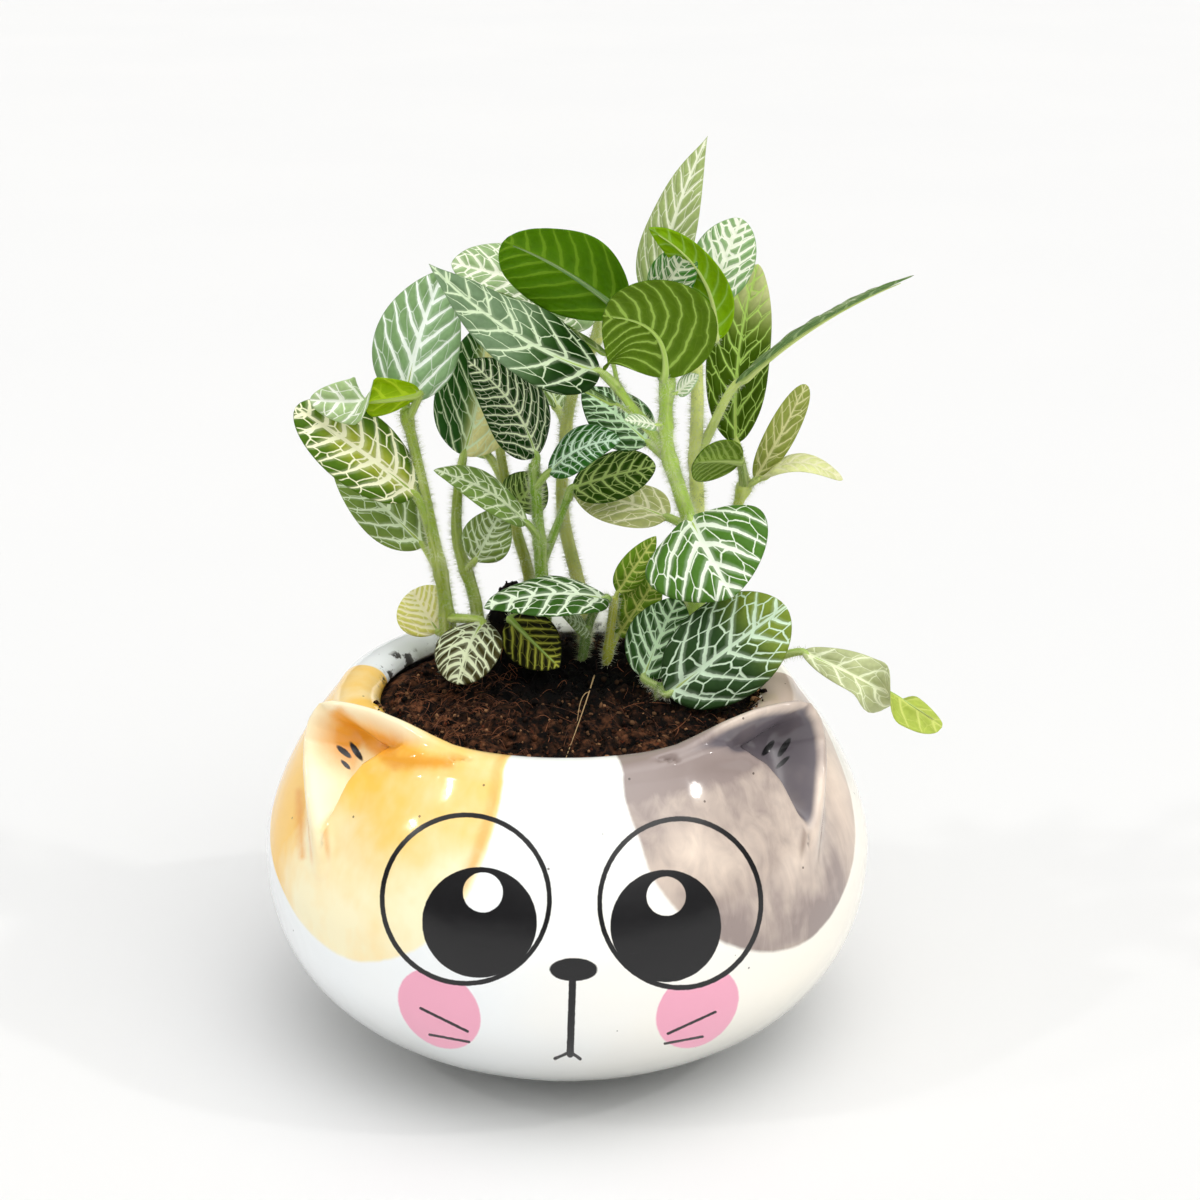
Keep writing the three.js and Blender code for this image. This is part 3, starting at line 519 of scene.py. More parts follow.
def ear_relief(points):
    """How the ears move each point of the pot; where its paint takes a painted highlight on the ridge's
    crest, deep amber for pooled glaze and painted shade under the ridge, or a crease; and its hollow.
    """
    here = points.copy()
    here[:, 0] = np.abs(here[:, 0])
    outward = unit(here * [1, 1, 0])
    move = np.zeros_like(here)
    ridge, brow = beside(EAR_RIDGE, here), beside(EAR_BROW, here)
    for (away, rise, lean), width in ((ridge, EAR_RIDGE_WIDTH), (brow, EAR_BROW_WIDTH)):
        up = rise * bell(away, 0, width)
        move += unit(outward * lean[:, None] + [0, 0, 1]) * up[:, None]
    azimuth, z = azimuth_of(here), here[:, 2]
    inside = inside_outline([corner[:2] for corner in EAR_BROW + EAR_RIDGE[::-1]], azimuth, z)
    from_ridge, from_brow = np.abs(ridge[0]), np.abs(brow[0])
    bank = smoothstep(0, EAR_HOLLOW_BANK, from_brow) * smoothstep(*EAR_HOLLOW_BESIDE_RIDGE, from_ridge)
    inward = unit(outward + np.outer(1.3 * smoothstep(69.5, 72.5, z), [0, 0, 1]))
    move -= inward * np.where(inside, EAR_HOLLOW_DEPTH * bank, 0)[:, None]
    move[:, 0] *= np.sign(points[:, 0])
    high = smoothstep(0.6, 4.5, ridge[1])
    # Painted highlight along the ridge's crest.
    crest = bell(ridge[0], 0.5, 1.4) * high
    # Deep amber just inside the ridge: pooled glaze and painted shade of the ridge.
    pooled = np.where(inside, bell(from_ridge, 3.0, 1.5), 0) * high * smoothstep(61, 68, z)
    crease = np.where(inside, 0, bell(from_ridge, 2.5, 0.6)) * smoothstep(69, 57, z)
    crease *= smoothstep(0.0, 1.5, ridge[1])
    # Where the hollow lies; the grey patch darkens it with painted shade.
    hollow = np.where(inside, smoothstep(0.0, 3.2, from_brow) * smoothstep(0.6, 2.2, from_ridge), 0)
    return move, np.column_stack([crest, pooled, crease]), hollow * smoothstep(27, 36, azimuth)


def spin(profile, azimuths):
    """Points of a profile of radius and height, spun round the axis."""
    turn = np.radians(azimuths)
    radius = profile[:, :1]
    height = np.broadcast_to(profile[:, 1:2], (len(profile), len(turn)))
    points = np.stack([np.sin(turn)[None] * radius, -np.cos(turn)[None] * radius, height], axis=-1)
    return points.reshape(-1, 3)


def close_ends(shape, rows, columns):
    """Flat caps on the first and last ring of a spun skin."""
    ring = np.arange(columns)
    shape.add_faces(ring[::-1][None])
    shape.add_faces((rows - 1) * columns + ring[None])


def pot_profile():
    """Radius and height of the pot's rings, and how much of the ears each ring takes part in."""
    z = spaced(OUTER_RINGS)
    outer = np.stack([outer_radius(z), z], axis=-1)
    lip = np.stack(lip_profile(np.radians(np.linspace(LIP["start"], LIP["end"], LIP["rings"]))), axis=-1)
    inner = inner_profile(WALL, FLOOR_Z, spaced(INNER_RINGS))
    inner[-1, 0] = AXIS_GAP
    below = len(BASE_RINGS) + len(outer)
    fading = np.clip((4 - np.linspace(0, 5, len(lip))) / 2, 0, 1)
    share = np.concatenate([np.ones(below), fading, np.zeros(len(inner))])
    return np.vstack([BASE_RINGS, outer, lip, inner]), share, below


def pot_piece():
    half = np.concatenate([np.linspace(*part, endpoint=False) for part in POT_COLUMNS])
    azimuths = np.sort(np.concatenate([half, [180.0], 180 + (180 - half[1:])]))
    columns = len(azimuths)
    profile, share, below = pot_profile()
    rows = np.arange(len(profile))
    points = spin(profile, azimuths)
    share = np.repeat(share, columns)
    relief, ear, hollow = ear_relief(points)
    outward = unit(points * [1, 1, 0])
    moved = points + relief * share[:, None]
    uneven = (points[:, 2] > UNEVEN["from_z"]) & (share > 0)
    moved += outward * (UNEVEN["depth"] * noise(points, UNEVEN["scale"], 5) * uneven)[:, None]
    below_sight = smoothstep(*OUT_OF_SIGHT_Z, points[:, 2])
    facing = np.einsum("ij,ij->i", unit(CAMERA_PLACE - moved), outward) - below_sight * 2
    azimuth = azimuth_of(points)
    height = np.where(np.repeat(rows >= below, columns), PATCH_ON_LIP_Z, points[:, 2])
    flat = np.stack([azimuth * DEGREE_MM, height, np.zeros(len(points))], axis=-1)
    patches = []
    for outline in (ORANGE_PATCH, GREY_PATCH):
        corners = np.array([(a * DEGREE_MM, h, 0) for a, h in outline], float)
        patches.append(signed_distance(catmull(corners, 5), flat))
    shape = Shape()
    shape.add(
        moved,
        [grid_faces(len(profile), columns, closed=True)],
        face_px=np.column_stack([photo_pixels(moved) / FACE_SCALE, facing]),
        paint=np.column_stack([*patches, azimuth]),
        ear=ear * share[:, None],
        hollow=hollow * share,
        inner=np.repeat(np.clip((rows - below - INNER_SIDE[0]) / INNER_SIDE[1], 0, 1), columns),
    )
    close_ends(shape, len(profile), columns)
    return shape.build("pot_glazed", [Glaze().finished()], "glaze", ["pot"])


# The face as it is painted, in the photograph's pixels, which the mesh stores divided by FACE_SCALE.
# An ellipse is its centre, two radii and its turn in degrees; a stroke is its two ends and half width.
FACE_SCALE = 100.0
EYES = [
    dict(ring=(465.8, 899.2, 83.6, 84.2), pupil=(479.5, 922.4, 57.4, 55.4), light=(482.9, 892.4, 20, 20)),
    dict(ring=(680.3, 903.2, 80.6, 84.4), pupil=(665.8, 926, 55.4, 56.2), light=(666.2, 896.2, 19.6, 19.6)),
]
RING_HALF_WIDTH = 2.5
NOSE = (573.5, 969.6, 24, 11.6)
MOUTH_AND_WHISKERS = [
    ((572.6, 980), (570.2, 1054), 3.7), ((570.2, 1052), (555, 1058.6), 1.6),
    ((570.2, 1052), (580.2, 1058.8), 1.6), ((420.5, 1008.2), (467.6, 1031.4), 1.35),
    ((429.6, 1034.6), (469.2, 1042), 1.25), ((668, 1033.6), (715.4, 1012), 1.35),
    ((664.8, 1043.6), (702.6, 1036.6), 1.25),
]
EAR_MARKS = [
    (343.8, 751.6, 9.6, 2.9, 40), (356.0, 751.2, 11.0, 3.0, 56), (345.6, 764.6, 6.6, 2.1, 45),
    (768.0, 748.2, 9.4, 3.1, -52), (784.2, 747.4, 11.0, 3.2, -56), (782.6, 762.4, 9.0, 2.2, -42),
]
CHEEKS = [(439.3, 1008.6, 46, 34.6, 42), (697.4, 1008, 46, 34.6, -42)]
# Deep amber under the left ear's ridge and beside the ear: glaze pooled there, and painted shade under the
# ridge.
AMBER_AND_SHADE_STROKES = [
    ((338, 714), (372, 742), 5.0), ((372, 742), (396, 762), 6.5), ((396, 762), (448, 762), 5.5),
    ((299, 792), (302.5, 856), 1.5),
]


def together(fields):
    """The union of shapes that are given as signed distances."""
    return reduce(lambda a, b: a.upper(b), fields)


class Glaze(Look):
    """The painted glaze. What several of its colours need is worked out once."""

    def __init__(self):
        super().__init__("glaze_painted", specular=0.5)
        x, y, facing = self.vector("face_px")
        self.x, self.y, self.front = x * FACE_SCALE, y * FACE_SCALE, facing.ramp(0.0, 0.05)
        self.orange, self.grey, self.azimuth = self.vector("paint")
        self.crest, self.pooled, self.crease = self.vector("ear")
        self.hollow = self.number("hollow")
        self.where = self.place()
        self.across, _, self.up = self.split(self.where)
        self.wobble = self.noise(self.where, 0.9, 3.0, 0.6) - 0.5
        self.broad = self.noise(self.where, 0.035, 2.0)
        brushed = self.stretched(self.where, (0.5, 0.5, 0.13), (0.25, 0.5, 0.3))
        self.streak = self.noise(brushed, 0.5, 5.0, 0.6, 0.6)
        self.patchy = self.noise(self.where, 0.075, 3.0, 0.55)
        self.rim = self.up.ramp(66.5, 70.5) * (1 - self.crest)
        self.outer_side = self.azimuth.abs().ramp(58.0, 72.0)

    def ellipse(self, cx, cy, rx, ry, turn=0.0):
        """Signed distance in pixels, positive inside, near the edge of an ellipse."""
        c, s = math.cos(math.radians(turn)), math.sin(math.radians(turn))
        dx, dy = self.x - cx, self.y - cy
        u, v = (dx * c + dy * s) / rx, (dy * c - dx * s) / ry
        return (1 - (u * u + v * v).root()) * min(rx, ry)

    def stroke(self, a, b, half):
        """Signed distance in pixels, positive inside, to a stroke drawn from a to b."""
        way_x, way_y = b[0] - a[0], b[1] - a[1]
        dx, dy = self.x - a[0], self.y - a[1]
        along = ((dx * way_x + dy * way_y) / (way_x**2 + way_y**2)).clamp()
        ex, ey = dx - along * way_x, dy - along * way_y
        return half - (ex * ex + ey * ey).root()

    def face(self):
        """Where ink lies, and where the pink of the cheeks does."""
        rings = [self.ellipse(*eye["ring"]) for eye in EYES]
        drawn = [RING_HALF_WIDTH - ring.abs() for ring in rings]
        drawn += [self.ellipse(*eye["pupil"]).lower(-self.ellipse(*eye["light"])) for eye in EYES]
        drawn += [self.stroke(*line) for line in MOUTH_AND_WHISKERS]
        drawn += [self.ellipse(*mark) for mark in [*EAR_MARKS, NOSE]]
        ink = (together(drawn) + self.wobble).ramp(-0.5, 0.5) * self.front
        cheeks = together([self.ellipse(*cheek) for cheek in CHEEKS])
        beside_rings = (-together(rings)).ramp(-1.0, 0.0)
        return ink, (cheeks + self.wobble).ramp(-0.8, 0.8) * beside_rings * self.front

    def white(self):
        """The white glaze, with painted light: a cool shaded tint at the left, a warm lit tint at the right,
        and painted shade greying the foot.
        """
        # Painted light: cool on the shaded left side, warm on the lit right side.
        warm = (self.across / POT_RADIUS + self.broad - 0.5).ramp(-0.6, 0.9)
        # Painted shade: grey towards the foot, under the pot's bulge.
        low = self.up.ramp(31.0, 4.0) * (0.62 + self.broad * 0.5)
        return self.mix(low, self.mix(warm, "shaded cool white", "lit warm white"), "painted foot shade")

    def apricot(self):
        """The left patch: pale with a painted highlight on the ear's ridge, deep amber beside it for pooled
        glaze and painted shade, and deep at the rim.
        """
        up, azimuth, streak, patchy = self.up, self.azimuth, self.streak, self.patchy
        tone = (streak - 0.45) * 0.35 + (patchy - 0.42) * 1.5 + self.rim * 0.15
        tone = tone + self.outer_side * up.ramp(71.0, 67.0) * 0.9 + up.ramp(46.0, 66.0) * 0.6
        tone = tone + azimuth.ramp(-56.0, -72.0) * 0.3 - azimuth.ramp(-34.0, -20.0) * 0.25
        # Painted light: paler on the lip behind the left ear, where light falls.
        tone = tone - up.ramp(69.5, 71.5) * azimuth.ramp(-70.0, -80.0) * 0.4
        tone = (tone - self.crest * 0.9 - self.hollow * 0.5).clamp()
        # Amber under the left ear's ridge: pooled glaze and painted shade.
        amber = together([self.stroke(*line) for line in AMBER_AND_SHADE_STROKES])
        amber = (amber + (patchy - 0.5) * 14.0 + self.wobble * 4.0).ramp(-6.0, 5.0) * self.front
        edge = self.orange.ramp(3.4, 1.6) * self.orange.ramp(0.2, 1.2) * azimuth.ramp(-26.0, -17.0) * streak
        return self.layered(
            self.mix(tone, "pale apricot", "deep apricot"),
            (self.crest * 0.6, "ridge highlight cream"),
            ((self.pooled * (0.8 + streak)).clamp() * 0.95, "pooled amber"),
            (self.crease * (0.5 + patchy) * 0.5, "crease amber"),
            (amber * 0.85, "amber and shade stroke"),
            (edge * 1.1, "edge amber"),
        )

    def smoke(self):
        """The right patch: mauve grey, with painted shade darkening the ear's hollow and a painted highlight
        paling the ridge's crest.
        """
        up, streak, patchy = self.up, self.streak, self.patchy
        tone = (streak - 0.4) * 0.8 + (patchy - 0.4) * 1.4 + self.rim * 0.4 - self.crest * 0.3
        tone = (tone + up.ramp(58.0, 44.0) * 0.3 + up.ramp(58.0, 66.0) * 0.3 + 0.3).clamp()
        # Painted shade in the ear's hollow.
        deep = (self.hollow.ramp(0.0, 0.4) * (1.0 + (patchy - 0.5) * 0.8)).clamp()
        return self.layered(
            self.mix(tone, "pale smoke", "deep smoke"),
            (self.outer_side * (1 - self.crest) * 0.5, "outer beige"),
            (deep, "hollow shade grey"),
            (self.crease * 0.6, "crease brown"),
        )

    def worn_ink(self):
        """Ink with fine scratches."""
        scratched = self.stretched(self.where, (0.12, 0.12, 2.6), (0.0, 0.7, 0.0))
        scratch = self.noise(scratched, 1.2, 4.0, 0.7).ramp(0.70, 0.76) * 0.45
        return self.mix(scratch, "ink", "worn ink")

    def dust(self):
        """Where soil dust lies on the lip and in the mouth of the pot."""
        inside = self.number("inner")
        grimy = self.noise(self.where, 0.4, 6.0, 0.75).ramp(0.52, 0.66) * inside.ramp(0.7, 1.0)
        smeared = self.azimuth.ramp(-92.0, -98.0) * self.azimuth.ramp(-128.0, -118.0)
        clotted = self.noise(self.where, 0.22, 4.0, 0.6).ramp(0.54, 0.6) * inside.ramp(0.35, 0.6)
        return grimy.upper(clotted * smeared)

    def finished(self):
        ink, pink = self.face()
        ragged = (self.noise(self.where, 0.35, 3.0, 0.65) - 0.5) * 0.5
        specks, dust = self.cells(self.where, 0.16).ramp(0.045, 0.03), self.dust()
        colour = self.layered(
            self.white(),
            ((self.orange + ragged).ramp(-0.45, 0.45), self.apricot()),
            ((self.grey + ragged).ramp(-0.45, 0.45), self.smoke()),
            (pink * 0.95, self.mix(self.broad, "pink", "deep pink")),
            (ink, self.worn_ink()),
            (specks * 0.75, "speck"),
            (dust * 0.95, "soil dust"),
        )
        rough = self.noise(self.where, 0.5, 3.0) * 0.08 + 0.05 + dust * 0.5 + ink * 0.14
        ripple = self.noise(self.where, 0.09, 2.0) + self.noise(self.where, 0.6, 2.0) * 0.05
        return self.finish(colour, rough, ripple, depth_mm=0.35, strength=0.5)


# The soil, its crumbs and its fibres. Lengths are millimetres.
SOIL_GAP = 0.35
# Radius and height of the soil's edge, and the heaps on it: place, height and width.
SOIL_EDGE = (36.0, 68.8)
SOIL_MOUNDS = [(-12, 22, 20, 7.5), (20, 20, 5, 14), (30, -2, 3, 9), (-2, -12, 1.5, 16)]
SOIL_SIDE_RINGS = [(66, 7, 14)]
SOIL_COLUMNS = 300
SOIL_RINGS = 118
# The middle of the soil, darkened with painted shade where the plant shades it.
SOIL_SHADE_AT = (-3.0, 6.0)


def soil_height(x, y):
    inside = np.clip(1 - (np.hypot(x, y) / SOIL_EDGE[0]) ** 4, 0, 1)
    height = np.ones_like(x)
    for mx, my, up, width in SOIL_MOUNDS:
        height += up * np.exp(-(((x - mx) / width) ** 2) - ((y - my) / width) ** 2)
    ripple = 0.7 * np.sin(x * 0.55 + 1) * np.cos(y * 0.6) + 0.4 * np.sin(x * 1.1 - y * 0.9)
    return SOIL_EDGE[1] + inside * (height + ripple)


def crumbly(points):
    """The soil's own roughness, in millimetres up."""
    clods = np.abs(noise(points, 4.6, 24)) * 1.4 + np.abs(noise(points, 2.6, 21)) * 1.2 - 0.7
    return clods + 0.5 * noise(points, 1.3, 22) + 0.3 * noise(points, 0.7, 23)


def soil_piece():
    side = inner_profile(WALL + SOIL_GAP, FLOOR_Z + SOIL_GAP, spaced(SOIL_SIDE_RINGS))[::-1]
    side[0, 0] = AXIS_GAP
    rings = SOIL_EDGE[0] * np.linspace(1, 0.0, SOIL_RINGS)
    rings[-1] = AXIS_GAP * 2
    profile = np.vstack([side, np.stack([rings, np.full(SOIL_RINGS, SOIL_EDGE[1])], axis=-1)])
    points = spin(profile, np.arange(SOIL_COLUMNS) / SOIL_COLUMNS * 360)
    up = np.repeat(np.arange(len(profile)) >= len(side), SOIL_COLUMNS)
    flat = points[up] * [1, 1, 0]
    edge = smoothstep(0, 3, SOIL_EDGE[0] - np.hypot(flat[:, 0], flat[:, 1]))
    points[up, 2] = soil_height(flat[:, 0], flat[:, 1]) + crumbly(flat) * (0.35 + 0.65 * edge)
    shape = Shape()
    shape.add(points, [grid_faces(len(profile), SOIL_COLUMNS, closed=True)])
    close_ends(shape, len(profile), SOIL_COLUMNS)
    return shape.build("soil_bed", [soil_look("peat_bed")], "peat", ["soil"])


def soil_look(name, crumbs=False):
    """Damp peat, drier at the left and at the front, with patches of painted shadow and painted shade under
    the plant.
    """
    look = Look(name, specular=0.12)
    where = look.place()
    x, y, _ = look.split(where)
    mottle = look.noise(where, 0.5, 6.0, 0.7)
    grain = look.noise(where, 2.6, 4.0, 0.7)
    clumps = look.noise(where, 0.2, 3.0, 0.6)
    red = look.noise(where, 1.1, 3.0).ramp(0.62, 0.72)
    dry = (look.noise(where, 0.07, 2.0) - 0.35) * 1.6 + (x + 14.0).ramp(6.0, -14.0) * 0.55
    dry = (dry + y.ramp(4.0, -26.0) * 0.3).clamp()
    colour = look.mix(mottle.ramp(0.42, 0.68), "soil shadow", look.mix(dry, "damp soil", "dry soil"))
    colour = look.mix(grain.ramp(0.6, 0.74) * (0.15 + dry * 0.7), colour, "soil grain")
    colour = look.scaled(colour, clumps.ramp(0.4, 0.58) + 0.22)
    colour = look.mix(red * dry * 0.6, colour, "red soil")
    if crumbs:
        colour = look.mix(look.number("pale"), colour, "pale crumb")
    # Painted shade: darker towards the middle, under the plant.
    dx, dy = x - SOIL_SHADE_AT[0], y - SOIL_SHADE_AT[1]
    colour = look.scaled(colour, (dx * dx + dy * dy).root().ramp(11.0, 25.0) * 0.93 + 0.07)
    return look.finish(colour, grain * 0.3 + 0.62, mottle + grain * 0.6, depth_mm=0.5, strength=0.9)


# A lump of 20 triangles.
GOLDEN = (1 + 5**0.5) / 2
LUMP_POINTS = unit(np.array([
    (-1, GOLDEN, 0), (1, GOLDEN, 0), (-1, -GOLDEN, 0), (1, -GOLDEN, 0), (0, -1, GOLDEN), (0, 1, GOLDEN),
    (0, -1, -GOLDEN), (0, 1, -GOLDEN), (GOLDEN, 0, -1), (GOLDEN, 0, 1), (-GOLDEN, 0, -1), (-GOLDEN, 0, 1),
]))
LUMP_FACES = np.array([
    (0, 11, 5), (0, 5, 1), (0, 1, 7), (0, 7, 10), (0, 10, 11), (1, 5, 9), (5, 11, 4), (11, 10, 2), (10, 7, 6),
    (7, 1, 8), (3, 9, 4), (3, 4, 2), (3, 2, 6), (3, 6, 8), (3, 8, 9), (4, 9, 5), (2, 4, 11), (6, 2, 10),
    (8, 6, 7), (9, 8, 1),
])
CRUMBS_ON_SOIL = 2000
CRUMBS_ON_LIP = 620
# Soil spilt on the lip's inner slope: azimuths from and to, and the share of the lip's crumbs.
LIP_SPILL = [(-75, -25, 0.25), (25, 74, 0.35), (66, 100, 0.4)]
# How pale a crumb can be, and the share of the crumbs that are.
PALE_CRUMBS = {0.0: 0.72, 0.35: 0.2, 0.9: 0.08}
# A whole turn in radians, as the seeded draws take it.
TURN = 6.28


def on_soil(flat):
    """Heights of places on the soil."""
    return soil_height(flat[:, 0], flat[:, 1]) + crumbly(np.column_stack([flat, np.zeros(len(flat))]))


def scattered(rng, count, spread=34.5):
    """Places on the soil, by a seeded draw."""
    turn = rng.uniform(0, 2 * math.pi, count)
    reach = spread * np.sqrt(rng.uniform(0, 1, count))
    return np.column_stack([np.cos(turn) * reach, np.sin(turn) * reach])


def crumbs_piece():
    rng = np.random.default_rng(41)
    flat = scattered(rng, CRUMBS_ON_SOIL)
    soil_size = 0.2 + 1.1 * rng.beta(1.1, 7.0, CRUMBS_ON_SOIL)
    ranges = [LIP_SPILL[k] for k in rng.choice(len(LIP_SPILL), CRUMBS_ON_LIP, p=[r[2] for r in LIP_SPILL])]
    turn = np.radians([rng.uniform(low, high) for low, high, _ in ranges])
    reach, height = lip_profile(np.radians(180 - 75 * rng.beta(0.9, 2.2, CRUMBS_ON_LIP)))
    reach = reach - 0.1
    lip_size = 0.18 + 0.95 * rng.beta(1.1, 5.0, CRUMBS_ON_LIP)
    on_lip = np.column_stack([np.sin(turn) * reach, -np.cos(turn) * reach, height])
    places = np.vstack([np.column_stack([flat, on_soil(flat)]), on_lip])
    shape = Shape()
    for place, size in zip(places, np.append(soil_size, lip_size)):
        stretch = size * rng.uniform(0.55, 1.25, 3)
        lump = LUMP_POINTS * stretch * rng.uniform(0.75, 1.2, (len(LUMP_POINTS), 1))
        a = rng.uniform(0, TURN)
        spun = np.array([[math.cos(a), -math.sin(a), 0], [math.sin(a), math.cos(a), 0], [0, 0, 1]])
        pale = rng.choice(list(PALE_CRUMBS), p=list(PALE_CRUMBS.values()))
        middle = [place[0], place[1], place[2] + stretch[2] * 0.4]
        shape.add(lump @ spun.T + middle, [LUMP_FACES], pale=np.full(len(LUMP_POINTS), pale))
    return shape.build("soil_crumbs", [soil_look("peat_crumbs", True)], "peat")


# Straws and fine roots that stand out in the photograph: ends in x and y, half thickness, bend and rise.
STRAWS = [
    ((5.4, 4), (0.2, -33), 0.17, 0.5, 1.4), ((5.0, -2), (2.2, -19), 0.13, -0.5, 2.2),
    ((2.4, -15), (-0.6, -33), 0.08, -0.6, 1), ((8, -9), (18, -19), 0.07, 2.4, 1.0),
    ((20, -8), (9, -17), 0.07, -2, 0.8), ((13, -8), (17, -26), 0.06, 1.8, 0.8),
    ((24, -12), (14, -27), 0.08, 2.2, 1.2), ((-4, -14), (7, -24), 0.06, 2, 0.6),
    ((-24, -12), (-12, -22), 0.08, -2, 0.9),
]
STRAW_STEPS = 16
# One whose half thickness is above this is a pale straw, the others are roots.
STRAW_FROM = 0.09
FIBRES = 380
# So many of them lie at the left, between these values of x and of y.
FIBRES_AT_LEFT = 250
LEFT_SOIL = ((-34, -10), (-26, 8))
FIBRE_STEPS = 7
FIBRE_LENGTH = (1.8, 6.5)
FIBRE_HALF_THICKNESS = (0.035, 0.08)
FIBRE_REACH = 35


def lay(shape, path, hump, thick, straw):
    """A fibre on the soil that follows a flat path and rises between its ends."""
    z = np.linspace(*(on_soil(path[[0, -1]]) + 0.2), len(path)) + hump
    radii = np.linspace(thick, thick * 0.4, len(path))
    points, faces, *_ = sweep(np.column_stack([path, z]), radii, 4)
    shape.add(points, faces, straw=np.full(len(points), float(straw)))


def fibre(rng, at_left):
    """The flat path of a wandering fibre."""
    x, y = scattered(rng, 1, 30.0)[0]
    if at_left:
        x, y = (rng.uniform(*limits) for limits in LEFT_SOIL)
        if math.hypot(x, y) > 34:
            x, y = x * 0.8, y * 0.8
    heading = rng.uniform(0, TURN)
    length = rng.uniform(*FIBRE_LENGTH)
    bend = rng.normal(0, 0.25)
    path = [np.array([x, y])]
    for _ in range(FIBRE_STEPS - 1):
        heading += bend + rng.normal(0, 0.15)
        path.append(path[-1] + np.array([math.cos(heading), math.sin(heading)]) * length / FIBRE_STEPS)
    return np.array(path)


def coir_look():
    look = Look("coir", specular=0.3)
    colour = look.mix(look.noise(look.place(), 0.3, 2.0).ramp(0.4, 0.6), "dark coir", "coir")
    return look.finish(look.mix(look.number("straw") * 0.85, colour, "straw"), 0.75)


def fibres_piece():
    rng = np.random.default_rng(42)
    shape = Shape()
    for i in range(FIBRES):
        path = fibre(rng, i < FIBRES_AT_LEFT)
        if (np.hypot(path[:, 0], path[:, 1]) > FIBRE_REACH).any():
            continue
        hump = np.sin(np.linspace(0, math.pi, FIBRE_STEPS)) * rng.uniform(0.2, 1.2)
        lay(shape, path, hump, rng.uniform(*FIBRE_HALF_THICKNESS), False)
    for start, end, thick, bend, up in STRAWS:
        share = np.linspace(0, 1, STRAW_STEPS)
        a, b = np.array(start, float), np.array(end, float)
        aside = unit(np.array([a[1] - b[1], b[0] - a[0]]))
        path = a + (b - a) * share[:, None] + aside * (bend * np.sin(share * math.pi))[:, None]
        lay(shape, path, up * np.sin(0.25 + share * (math.pi - 0.4)), thick, thick > STRAW_FROM)
    return shape.build("coir_fibres", [coir_look()], "peat")
